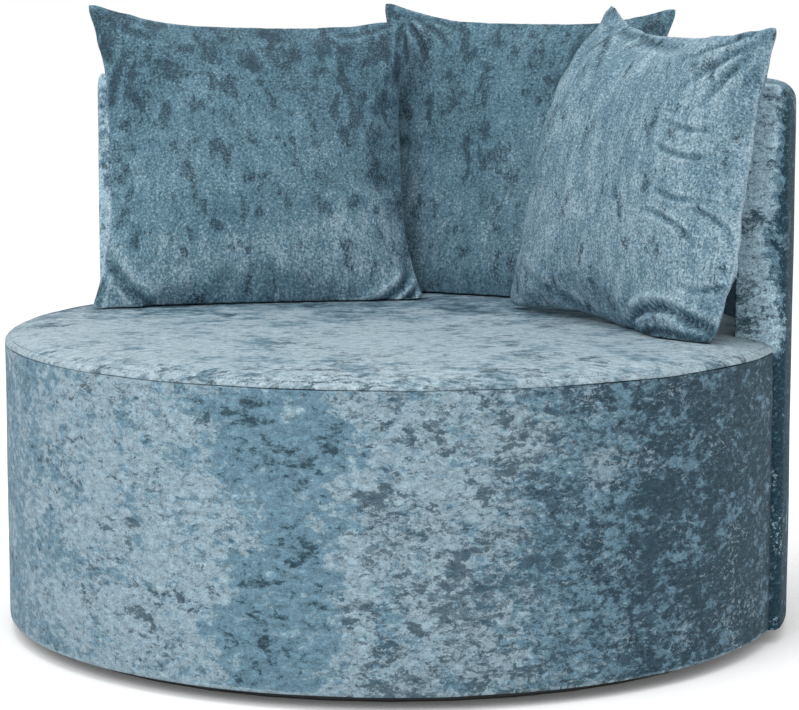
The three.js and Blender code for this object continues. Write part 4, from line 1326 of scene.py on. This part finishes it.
@dataclass
class Cushion:
    """A loose, filled scatter cushion: four corner ears, drawn-in knife edges and a crowned body.

    The grid of each panel is laid flat first, raised to the crown, blown up as cloth with its seam
    held, and then creased. Everything is worked out about the cushion's own middle.

    The draws are how far the sides, the top and the bottom curve in, as shares, and the power is
    how full the crown is. The slim share of the crown is what the blowing starts from. It runs for
    some frames, moves nothing by more than the cap, and leaves the ears calm. The flange is how far
    the sewn edge stands out. The sag gives how far the underside sinks at each share across, up to
    the soft height above the seat.
    """

    side: str
    place: Point
    facing: float
    lean: float
    tip: float
    front: float
    back: float
    twist: float
    finish: Velvet
    ears: dict[str, Point] = field(default_factory=dict)
    pulls: tuple[Pull, ...] = ()
    folds: tuple[Fold, ...] = ()
    swells: tuple[Swell, ...] = ()
    width: float = 0.530
    height: float = 0.485
    side_draws: tuple[float, float] = (0.086, 0.086)
    top_draw: float = 0.095
    bottom_draw: float = 0.02
    power: float = 0.46
    columns: int = 112
    rows: int = 104
    frames: int = 20
    calm: float = 0.30
    flange: float = 0.0025
    slim: float = 0.93
    cap: float = 0.024
    soft_height: float = 0.15
    sag: tuple[tuple[float, float], ...] = ((-1.0, 0.035), (1.0, 0.035))

    def frame(self) -> Matrix:
        """Return the cushion's place in the chair's frame."""
        turn = (Matrix.Rotation(math.radians(self.facing + 90.0), 4, "Z")
                @ Matrix.Rotation(math.radians(-self.lean), 4, "X")
                @ Matrix.Rotation(math.radians(self.tip), 4, "Y"))
        return Matrix.Translation(Vector(self.place)) @ turn

    def outline(self, s: np.ndarray, t: np.ndarray) -> tuple[np.ndarray, np.ndarray]:
        """Return how far across and up a panel's point lies, before the ears are pulled."""
        drawn = np.where(s < 0, *self.side_draws)
        across = self.width / 2 * s * (1 - drawn * (1 - np.abs(t) ** 3.2))
        draw = np.where(t > 0, self.top_draw * (1 - np.abs(s) ** 3.0), self.bottom_draw * (1 - s * s))
        return across, self.height / 2 * t * (1 - draw)

    def crown(self, s: np.ndarray, t: np.ndarray) -> np.ndarray:
        """Return the share of the full bulge at a point of a panel, which is fuller low down."""
        low = self.power * (1 - 0.3 * np.clip(-t, 0, 1))
        return np.maximum(0.0, 1 - s * s) ** self.power * np.maximum(0.0, 1 - t * t) ** low

    def panels(self) -> tuple[bmesh.types.BMesh, np.ndarray]:
        """Lay the two panels flat.

        Returns:
            The bmesh, whose vertices are still at their flat places, and for each vertex its share
            across, its share up and which panel it is on, -1 for the front and 1 for the back.
        """
        shape = bmesh.new()
        shape.loops.layers.uv.new(CLOTH_MAP)
        tags = []
        for panel in (-1.0, 1.0):
            done = len(shape.verts)
            bmesh.ops.create_grid(shape, x_segments=self.columns, y_segments=self.rows, size=1.0)
            shape.verts.ensure_lookup_table()
            for vertex in shape.verts[done:]:
                s, t = (c * (1 + 0.12 * (1 - c * c)) for c in (vertex.co.x, vertex.co.y))
                tags.append((s, t, panel))
        return shape, np.array(tags)

    def raise_panels(self, shape: bmesh.types.BMesh, tags: np.ndarray) -> None:
        """Bring the flat panels to their crowned form and weld the seam."""
        s, t, panel = tags.T
        x, z = self.outline(s, t)
        bulge = np.where(panel < 0, self.front, self.back) * self.slim
        y = panel * bulge * self.crown(s, t) - self.twist * s * t
        move = np.zeros((len(s), 3))
        for (sx, tz), name in (((-1, 1), "TL"), ((1, 1), "TR"), ((1, -1), "BR"), ((-1, -1), "BL")):
            pull = self.ears.get(name, (0.0, 0.0, 0.0))
            across, up = (np.clip((share - 0.45) / 0.55, 0, 1) ** 1.5 for share in (s * sx, t * tz))
            weight = across * up
            move += weight[:, None] * np.array(pull)
        for pull in self.pulls:
            move += nearness(s, t, pull)[:, None] * np.array(pull.move)
        blunt = np.clip((np.abs(s) + np.abs(t) - 1.9) / 0.1, 0, 1) ** 2 * 0.007
        move -= np.stack((np.sign(s) * blunt, 0.0 * s, np.sign(t) * blunt), axis=1)
        spots = np.stack((x, y, z), axis=1) + move
        shape.verts.ensure_lookup_table()
        for vertex, spot in zip(shape.verts, spots):
            vertex.co = spot
        self.lay_panels(shape, tags, spots)

    def lay_panels(self, shape: bmesh.types.BMesh, tags: np.ndarray, spots: np.ndarray) -> None:
        """Map the cloth along each panel's own surface, so that it isn't stretched at the steep edges."""
        laid = np.zeros((len(spots), 2))
        for panel in (-1.0, 1.0):
            own = np.flatnonzero(tags[:, 2] == panel)
            s, t = tags[own, 0].round(5), tags[own, 1].round(5)
            grid = own[np.lexsort((s, t))].reshape(len(np.unique(t)), len(np.unique(s)))
            for part, along in ((0, 1), (1, 0)):
                runs = np.linalg.norm(np.diff(spots[grid], axis=along), axis=2)
                total = np.insert(np.cumsum(runs, axis=along), 0, 0.0, axis=along)
                middle = np.take(total, [total.shape[along] // 2], axis=along)
                laid[grid, part] = total - middle + (0.8 * (panel + 1) if part == 0 else 0.0)
        layer = shape.loops.layers.uv[CLOTH_MAP]
        shape.verts.index_update()
        for face in shape.faces:
            for loop in face.loops:
                loop[layer].uv = laid[loop.vert.index]

    def simulate(self, piece: bpy.types.Object, rim: list[int], tags: np.ndarray) -> None:
        """Blow the cover up as cloth with its seam held, and keep what comes of it.

        Args:
            piece: the cover, whose mesh takes the new places.
            rim: the vertices on the seam, which stay where they are.
            tags: for each vertex its share across and up, so that the ears stay pointed.
        """
        group = piece.vertex_groups.new(name="seam")
        group.add(rim, 1.0, "REPLACE")
        cloth = piece.modifiers.new("filling", "CLOTH")
        rules = cloth.settings
        rules.quality, rules.mass = 5, 0.2
        rules.tension_stiffness = rules.compression_stiffness = 14.0
        rules.shear_stiffness, rules.bending_stiffness = 5.0, 0.25
        rules.use_pressure, rules.uniform_pressure_force = True, 4.0
        rules.shrink_min = rules.shrink_max = -0.04
        rules.vertex_group_mass = "seam"
        rules.effector_weights.gravity = 0.0
        cloth.collision_settings.use_collision = False
        cloth.collision_settings.use_self_collision = False
        cloth.point_cache.frame_start, cloth.point_cache.frame_end = 1, self.frames
        for step in range(1, self.frames + 1):
            bpy.context.scene.frame_set(step)
        blown = piece.evaluated_get(bpy.context.evaluated_depsgraph_get()).data
        start, spots = mesh_points(piece.data), mesh_points(blown)
        piece.modifiers.remove(cloth)
        piece.vertex_groups.remove(group)
        bpy.context.scene.frame_set(1)
        step = spots - start
        step *= np.minimum(1.0, self.cap / np.maximum(np.linalg.norm(step, axis=1, keepdims=True), 1e-9))
        near = np.clip(np.maximum(1 - np.abs(tags[:, 0]), 1 - np.abs(tags[:, 1])) / self.calm, 0, 1)
        step *= eased(near)[:, None]
        set_points(piece.data, start + step)

    def seam_depth(self, s: np.ndarray, t: np.ndarray) -> np.ndarray:
        """Return how far back the middle of the cushion lies at each share across and up."""
        depth = -self.twist * s * t
        for pull in self.pulls:
            depth = depth + nearness(s, t, pull) * pull.move[1]
        return depth

    def middle_of(self, spots: np.ndarray) -> np.ndarray:
        """Return how far back the middle of the cushion lies at each point."""
        return self.seam_depth(np.clip(spots[:, 0] / (self.width / 2), -1, 1),
                               np.clip(spots[:, 2] / (self.height / 2), -1, 1))

    def crease(self, spots: np.ndarray) -> np.ndarray:
        """Press the folds and swellings into the front panel, and return the painted shade at each point,
        below 0 for a painted highlight.
        """
        gap = spots[:, 1] - self.middle_of(spots)
        face = np.flatnonzero(gap < -0.0005)
        flat = spots[face][:, [0, 2]]
        lift, painted_shade = np.zeros(len(flat)), np.zeros(len(spots))
        for fold in self.folds:
            curve = fold.points()
            low, high = curve.min(0) - 4 * fold.width, curve.max(0) + 4 * fold.width
            close = np.flatnonzero(((flat > low) & (flat < high)).all(axis=1))
            gaps = np.linalg.norm(flat[close][:, None, :] - curve[None, :, :], axis=2)
            share = gaps.argmin(axis=1) / (len(curve) - 1)
            q = gaps.min(axis=1) / fold.width
            taper = np.sin(np.pi * (share * 0.92 + 0.04)) ** 0.6
            shape = taper * (np.exp(-q * q) - 0.5 * np.exp(-((q - 1.7) ** 2) / 0.8))
            lift[close] += fold.depth * shape
            # painted shade in each fold's valley, painted highlight on its shoulders
            painted_shade[face[close]] += shape * min(1.0, fold.depth / 0.006)
        for swell in self.swells:
            near = nearness(flat[:, 0], flat[:, 1], swell)
            lift -= swell.height * near
            # painted shade under the swelling, by its share
            painted_shade[face] += swell.painted_shade_share * near
        thin = np.clip(-gap[face] / 0.012, 0, 1)
        spots[face, 1] += np.minimum(lift * thin, -gap[face] * 0.25)
        return np.clip(painted_shade, -0.5, 1.45)

    def keep_in_place(self, spots: np.ndarray, tags: np.ndarray) -> None:
        """Hold the bulge within the space that the cushion's solid fills."""
        s, t, panel = tags.T
        bulge = np.where(panel < 0, self.front, self.back)
        most = bulge * self.crown(np.clip(s, -0.995, 0.995), np.clip(t, -0.995, 0.995)) + 0.003
        base = self.seam_depth(s, t)
        spots[:, 1] = np.clip(spots[:, 1] - base, -most, most) + base

    def build(self) -> bpy.types.Object:
        """Make the cover and the filling inside it."""
        shape, tags = self.panels()
        self.raise_panels(shape, tags)
        label = shape.verts.layers.int.new("tag")
        for i, vertex in enumerate(shape.verts):
            vertex[label] = i
        rim_verts = [v for v in shape.verts if v.is_boundary]
        bmesh.ops.remove_doubles(shape, verts=rim_verts, dist=1e-4)
        face_outwards(shape)
        shape.verts.ensure_lookup_table()
        order = np.array([v[label] for v in shape.verts])
        tags = tags[order]
        rim = [int(i) for i in np.flatnonzero(on_seam(tags))]
        piece = piece_of(f"cushion_{self.side}", shape)
        self.simulate(piece, rim, tags)
        spots = mesh_points(piece.data)
        self.keep_in_place(spots, tags)
        set_points(piece.data, spots)
        self.fill(piece, spots, tags)
        self.raise_seam(piece, rim, spots)
        edge = np.zeros(len(spots), np.float32)
        edge[rim] = 1.0
        mark(piece.data, SEWN, edge)
        self.refine(piece)
        spots = mesh_points(piece.data)
        across = spots[:, 0] / (self.width / 2)
        # painted shade and highlight of the creases, kept as a vertex mark
        mark(piece.data, PAINTED_SHADE, self.crease(spots).astype(np.float32))
        set_points(piece.data, spots)
        piece.data.transform(self.frame())
        spots = mesh_points(piece.data)
        self.settle(spots, across, 0.0022)
        set_points(piece.data, spots)
        piece.data.update()
        dress(piece, self.finish, "velvet", f"cushion_{self.side}", f"cushion_{self.side}_cover")
        self.add_zip(piece, tags)
        return piece

    def settle(self, spots: np.ndarray, across: np.ndarray, least: float) -> None:
        """Let the underside spread flat on the seat.

        Args:
            spots: points in the chair's frame, whose heights change.
            across: their shares across the cushion.
            least: how far above the seat the lowest of them stay.
        """
        floor = seat_height(np.hypot(spots[:, 0], spots[:, 1]))
        above = spots[:, 2] - floor
        rise = eased(np.clip(above / self.soft_height, 0, 1))
        sunk = np.interp(across, *zip(*self.sag)) * (1 - rise)
        spots[:, 2] = floor + np.maximum(least + 0.02 * above, above - sunk)

    def add_zip(self, cover: bpy.types.Object, tags: np.ndarray) -> None:
        """Lay the zip's tape and teeth across the back, a little above the bottom seam."""
        spots = mesh_points(cover.data)[:len(tags)]
        behind = np.flatnonzero((tags[:, 2] > 0) & (np.abs(tags[:, 0]) < 0.72))
        heights = np.unique(tags[behind, 1].round(5))
        rows = []
        for height in heights[13:16]:
            row = behind[np.abs(tags[behind, 1] - height) < 2e-5]
            rows.append(row[np.argsort(tags[row, 0])])
        normals = [[cover.data.vertices[int(i)].normal.copy() for i in row] for row in rows]
        count = len(rows[0])
        shape = bmesh.new()
        bmesh.ops.create_grid(shape, x_segments=count - 1, y_segments=2, size=1.0)
        for vertex in shape.verts:
            i, j = round((vertex.co.x + 1) / 2 * (count - 1)), round(vertex.co.y + 1)
            vertex.co = Vector(spots[rows[j][i]]) + normals[j][i] * 0.0014
        shape.normal_update()
        shape.faces.ensure_lookup_table()
        if shape.faces[0].normal.dot(normals[0][0]) < 0.0:
            bmesh.ops.reverse_faces(shape, faces=shape.faces)
        tape = piece_of(f"cushion_{self.side}_zip_tape", shape)
        finish_with(tape, wall=0.0009)
        dress(tape, Finishes.ZIP, "nylon", f"cushion_{self.side}", f"cushion_{self.side}_zip")
        line = spots[rows[1]]
        along = np.insert(np.cumsum(np.linalg.norm(np.diff(line, axis=0), axis=1)), 0, 0.0)
        places = []
        for reach in np.arange(0.004, along[-1] - 0.004, 0.0026):
            i = int(np.searchsorted(along, reach)) - 1
            share = (reach - along[i]) / (along[i + 1] - along[i])
            spot = Vector(line[i] * (1 - share) + line[i + 1] * share) + normals[1][i] * 0.0017
            places.append((spot, Vector(spots[rows[2][i]] - spots[rows[0][i]]), normals[1][i]))
        teeth = stitched(f"cushion_{self.side}_zip_teeth", places, 0.0036, 0.0013)
        dress(teeth, Finishes.ZIP, "nylon", f"cushion_{self.side}")

    def raise_seam(self, piece: bpy.types.Object, rim: list[int], spots: np.ndarray) -> None:
        """Push the sewn edge out into a thin ridge."""
        piece.data.update()
        for index in rim:
            normal = piece.data.vertices[index].normal
            out = Vector((normal.x, 0.0, normal.z))
            spots[index] += np.array(out.normalized() * self.flange) if out.length > 0.2 else 0.0
        set_points(piece.data, spots)
        piece.data.update()

    def refine(self, piece: bpy.types.Object) -> None:
        """Apply one level of subdivision, so that the folds have enough faces."""
        finish_with(piece, smooth=1)
        finer = bpy.data.meshes.new_from_object(piece.evaluated_get(bpy.context.evaluated_depsgraph_get()))
        piece.modifiers.clear()
        coarse, piece.data = piece.data, finer
        bpy.data.meshes.remove(coarse)
        finer.name = piece.name

    def fill(self, cover: bpy.types.Object, spots: np.ndarray, tags: np.ndarray) -> None:
        """Put the wadding inside: the cover's own form, drawn in from it on every side."""
        shape = bmesh.new()
        shape.from_mesh(cover.data)
        reach = np.clip((np.maximum(np.abs(tags[:, 0]), np.abs(tags[:, 1])) - 0.6) / 0.4, 0, 1)
        corner = np.clip((np.minimum(np.abs(tags[:, 0]), np.abs(tags[:, 1])) - 0.6) / 0.4, 0, 1)
        narrow = 1 - 0.055 * reach - 0.10 * corner
        front, back = (self.sampled(spots, tags, panel, narrow) for panel in (-1.0, 1.0))
        middle = (front + back) / 2
        depth = (0.62 * (1 - 0.3 * reach) * (1 - 0.5 * corner))[:, None]
        own = np.where(tags[:, 2:] < 0, front, back)
        edge = on_seam(tags)
        inner = np.where(edge[:, None], middle, middle + (own - middle) * depth)
        shape.verts.ensure_lookup_table()
        for vertex, spot in zip(shape.verts, inner):
            vertex.co = spot
        bmesh.ops.transform(shape, matrix=self.frame(), verts=shape.verts)
        inner = np.array([v.co for v in shape.verts])
        self.settle(inner, tags[:, 0], 0.007)
        for vertex, height in zip(shape.verts, inner[:, 2]):
            vertex.co.z = height
        inside = piece_of(f"cushion_{self.side}_filling", shape)
        dress(inside, Finishes.WADDING, "wadding", f"cushion_{self.side}", f"cushion_{self.side}_insert")

    def sampled(self, spots: np.ndarray, tags: np.ndarray, panel: float, narrow: np.ndarray) -> np.ndarray:
        """Return the points of one panel nearer its middle than each vertex.

        Args:
            spots: the cover's vertices.
            tags: their shares across and up, and their panels.
            panel: the panel, -1 for the front and 1 for the back.
            narrow: for each vertex, what part of its shares to take.

        Returns:
            One point for each vertex.
        """
        edge = on_seam(tags)
        own = np.flatnonzero((tags[:, 2] == panel) | edge)
        levels = [np.unique(tags[:, axis].round(5)) for axis in (0, 1)]
        i, j = (np.searchsorted(levels[axis], tags[own, axis].round(5)) for axis in (0, 1))
        grid = np.zeros((len(levels[0]), len(levels[1]), 3))
        grid[i, j] = spots[own]
        x, y = (np.interp(tags[:, axis] * narrow, levels[axis], np.arange(len(levels[axis])))
                for axis in (0, 1))
        i, j = np.minimum(x.astype(int), len(levels[0]) - 2), np.minimum(y.astype(int), len(levels[1]) - 2)
        a, b = (x - i)[:, None], (y - j)[:, None]
        return ((1 - a) * (1 - b) * grid[i, j] + a * (1 - b) * grid[i + 1, j]
                + (1 - a) * b * grid[i, j + 1] + a * b * grid[i + 1, j + 1])


@dataclass
class CushionSet:
    """The three cushions as they stand against the back."""

    left: Cushion = field(default_factory=lambda: Cushion(
        "left", (-0.33742, 0.15189, 0.70815), 311.0, 16.0, 1.5, 0.066, 0.050, 0.0,
        Velvet("left_cushion_velvet", Nap.BRUSHED, Run.UP,
               ((-0.24, 0.49, 0.58, 0.45), (-0.15, 0.63, 0.38, 1.00), (-0.06, 0.46, 0.72, 0.50),
                (0.06, 0.36, 0.90, 0.35), (0.17, 0.28, 1.10, 0.20), (0.24, 0.33, 0.8, 0.3)),
               amount=0.8, grain=2.8, soft=0.22, seed=1.7, hem=True, middle=(0.083, 0.161, 0.211, 1.0)),
        side_draws=(0.088, 0.066), top_draw=0.114,
        ears={"TL": (-0.010, 0.0, 0.010), "TR": (0.006, 0.0, -0.006),
              "BR": (0.026, -0.006, 0.0), "BL": (-0.020, -0.014, -0.006)},
        folds=(Fold((0.080, -0.240), (0.190, -0.228), (0.252, -0.182), 0.0075, 0.0105),
               Fold((0.180, -0.243), (0.232, -0.224), (0.264, -0.198), 0.0055, 0.0075),
               Fold((0.238, -0.243), (0.256, -0.230), (0.272, -0.216), 0.0045, 0.004),
               Fold((-0.254, -0.155), (-0.220, -0.205), (-0.168, -0.231), 0.0075, 0.0075),
               Fold((-0.250, -0.185), (-0.262, -0.215), (-0.268, -0.245), 0.005, 0.004),
               Fold((-0.240, -0.195), (-0.215, -0.222), (-0.190, -0.238), 0.005, 0.004),
               Fold((0.260, 0.228), (0.248, 0.180), (0.242, 0.110), 0.006, 0.0035),
               Fold((0.250, 0.232), (0.200, 0.208), (0.140, 0.198), 0.006, 0.003),
               Fold((-0.212, 0.160), (-0.231, 0.113), (-0.242, 0.050), 0.007, 0.0035),
               Fold((-0.240, 0.225), (-0.200, 0.195), (-0.150, 0.185), 0.007, 0.003)),
        swells=(Swell((0.235, -0.205), (0.030, 0.022), 0.006),
                Swell((-0.235, -0.215), (0.028, 0.024), 0.006))))
    middle: Cushion = field(default_factory=lambda: Cushion(
        "middle", (0.0, 0.42273, 0.70459), 270.0, 15.0, 0.5, 0.036, 0.066, 0.0,
        Velvet("middle_cushion_velvet", Nap.BRUSHED, Run.UP,
               ((-0.24, 0.44, 0.50, 0.45), (-0.12, 0.48, 0.45, 0.60), (0.02, 0.40, 0.65, 0.25),
                (0.14, 0.31, 0.84, 0.20), (0.24, 0.35, 0.70, 0.3)),
               amount=0.8, grain=2.8, soft=0.22, seed=4.6, hem=True, middle=(0.083, 0.161, 0.211, 1.0)),
        top_draw=0.078,
        ears={"TL": (-0.014, 0.0, 0.018), "TR": (0.008, 0.0, 0.014)},
        folds=(Fold((-0.256, 0.236), (-0.226, 0.200), (-0.208, 0.145), 0.006, 0.005),
               Fold((-0.248, 0.237), (-0.202, 0.203), (-0.168, 0.152), 0.006, 0.005),
               Fold((-0.236, 0.236), (-0.173, 0.210), (-0.125, 0.172), 0.006, 0.004),
               Fold((-0.220, 0.234), (-0.150, 0.218), (-0.090, 0.198), 0.006, 0.003),
               Fold((0.245, 0.225), (0.200, 0.185), (0.170, 0.120), 0.007, 0.004))))
    right: Cushion = field(default_factory=lambda: Cushion(
        "right", (0.36908, 0.13031, 0.71692), 234.0, 13.5, 2.0, 0.066, 0.040, 0.026,
        Velvet("right_cushion_velvet", Nap.BRUSHED, Run.UP,
               ((-0.24, 0.52, 0.45, 0.60), (-0.12, 0.63, 0.32, 0.95), (0.02, 0.56, 0.36, 0.80),
                (0.14, 0.53, 0.48, 0.7), (0.24, 0.49, 0.58, 0.5)),
               amount=1.1, grain=3.2, soft=0.24, seed=6.9, hem=True),
        ears={"TL": (0.014, 0.014, 0.004), "TR": (0.024, 0.004, -0.020),
              "BR": (-0.016, -0.006, 0.022), "BL": (-0.010, 0.0, -0.006)},
        top_draw=0.200, side_draws=(0.020, 0.072),
        sag=((-1.0, 0.020), (-0.8, 0.021), (-0.3, 0.012), (0.0, 0.016), (0.4, 0.034), (0.8, 0.035),
             (0.95, 0.010), (1.0, 0.006)),
        pulls=(Pull((1.0, 0.15), (0.40, 0.55), (0.004, 0.018, 0.0)),
               Pull((-1.0, 0.20), (0.60, 0.80), (0.0, -0.033, 0.0)),
               Pull((1.0, -0.55), (0.35, 0.35), (0.009, 0.010, 0.0)),
               Pull((1.0, 0.75), (0.30, 0.25), (0.005, 0.006, 0.0)),
               Pull((0.70, -1.0), (0.32, 0.30), (0.0, 0.0, -0.009))),
        folds=(Fold((0.120, 0.060), (0.165, 0.053), (0.205, 0.060), 0.0046, 0.0036),
               Fold((0.118, 0.022), (0.162, 0.014), (0.209, 0.020), 0.0048, 0.0040),
               Fold((0.128, -0.040), (0.165, -0.049), (0.212, -0.044), 0.0045, 0.0032),
               Fold((0.108, -0.076), (0.160, -0.082), (0.206, -0.108), 0.0050, 0.0046),
               Fold((0.190, -0.060), (0.232, -0.072), (0.254, -0.112), 0.0048, 0.0038),
               Fold((0.185, -0.158), (0.225, -0.163), (0.256, -0.152), 0.0046, 0.0030),
               Fold((0.050, -0.240), (0.165, -0.190), (0.258, -0.222), 0.0062, 0.0115),
               Fold((0.090, -0.244), (0.165, -0.216), (0.240, -0.226), 0.0042, 0.0050),
               Fold((0.262, 0.200), (0.210, 0.165), (0.130, 0.110), 0.0070, 0.0042),
               Fold((0.250, 0.180), (0.220, 0.142), (0.182, 0.092), 0.0065, 0.0042),
               Fold((0.246, 0.206), (0.185, 0.186), (0.100, 0.150), 0.0070, 0.0036),
               Fold((-0.250, 0.226), (-0.170, 0.180), (-0.120, 0.115), 0.008, 0.0036),
               Fold((-0.215, 0.212), (-0.060, 0.180), (0.080, 0.175), 0.008, 0.0036),
               Fold((-0.105, 0.100), (-0.075, 0.000), (-0.050, -0.090), 0.012, 0.0016),
               Fold((-0.045, 0.085), (-0.018, 0.000), (0.008, -0.095), 0.012, 0.0016),
               Fold((-0.215, -0.190), (-0.110, -0.222), (0.000, -0.234), 0.008, 0.0028)),
        # the first swelling is the bottom right pouch, with painted shade in it
        swells=(Swell((0.170, -0.236), (0.085, 0.028), 0.007, 1.3),
                Swell((0.14, -0.02), (0.08, 0.12), 0.003))))

    def build(self) -> None:
        """Make all three."""
        for cushion in (self.middle, self.left, self.right):
            cushion.build()


# ------------------------------------------------------------------------------------- studio


@dataclass
class Studio:
    """The camera at the photograph's viewing angle, a pale floor and soft light."""

    azimuth: float = 27.5
    distance: float = 4.239
    height: float = 0.979
    pitch: float = 7.62
    lens: float = 123.5
    shift: float = 0.0071
    key: float = 52.0
    top: float = 45.0
    ambient: float = 1.0

    def build(self) -> None:
        """Set up everything that isn't the chair."""
        bpy.context.scene.view_settings.view_transform = "Standard"
        self.add_camera()
        self.add_floor()
        self.add_lights()

    def add_camera(self) -> None:
        """Place the camera."""
        lens = bpy.data.cameras.new("camera")
        lens.lens, lens.sensor_width, lens.shift_x = self.lens, 36.0, self.shift
        camera = bpy.data.objects.new("camera", lens)
        turn = math.radians(self.azimuth)
        camera.location = (math.sin(turn) * self.distance, -math.cos(turn) * self.distance, self.height)
        camera.rotation_euler = (math.radians(90.0 - self.pitch), 0.0, turn)
        bpy.context.scene.collection.objects.link(camera)
        bpy.context.scene.camera = camera

    def add_floor(self) -> None:
        """Lay a plain floor."""
        shape = bmesh.new()
        bmesh.ops.create_grid(shape, x_segments=8, y_segments=8, size=14.0)
        floor = piece_of("floor", shape)
        floor.data.materials.append(Ground().material())

    def add_lights(self) -> None:
        """Hang a large key light in front and another above, in an even surround."""
        world = bpy.data.worlds.new("surround")
        world.use_nodes = True
        world.node_tree.nodes["Background"].inputs[0].default_value = (1.0, 1.0, 1.0, 1.0)
        world.node_tree.nodes["Background"].inputs[1].default_value = self.ambient
        bpy.context.scene.world = world
        for name, angle, reach, height, size, power in (
                ("key", -88.0, 3.6, 2.5, 2.4, self.key), ("top", -90.0, 0.6, 3.6, 2.6, self.top)):
            light = bpy.data.lights.new(name, "AREA")
            light.shape, light.size, light.energy = "DISK", size, power
            lamp = bpy.data.objects.new(name, light)
            lamp.location = polar(reach, angle, height)
            aim = Vector((0.0, 0.0, 0.4)) - lamp.location
            lamp.rotation_euler = aim.to_track_quat("-Z", "Y").to_euler()
            bpy.context.scene.collection.objects.link(lamp)


def main() -> None:
    """Build the chair, sub-assembly by sub-assembly."""
    logging.basicConfig(level=logging.INFO, format="%(name)s: %(message)s")
    Studio().build()
    Undercarriage().dress()
    Carcass().dress()
    Padding().build()
    SeatCover().build()
    DrumCover().build()
    BackCovers().build()
    CushionSet().build()


if __name__ == "__main__":
    main()
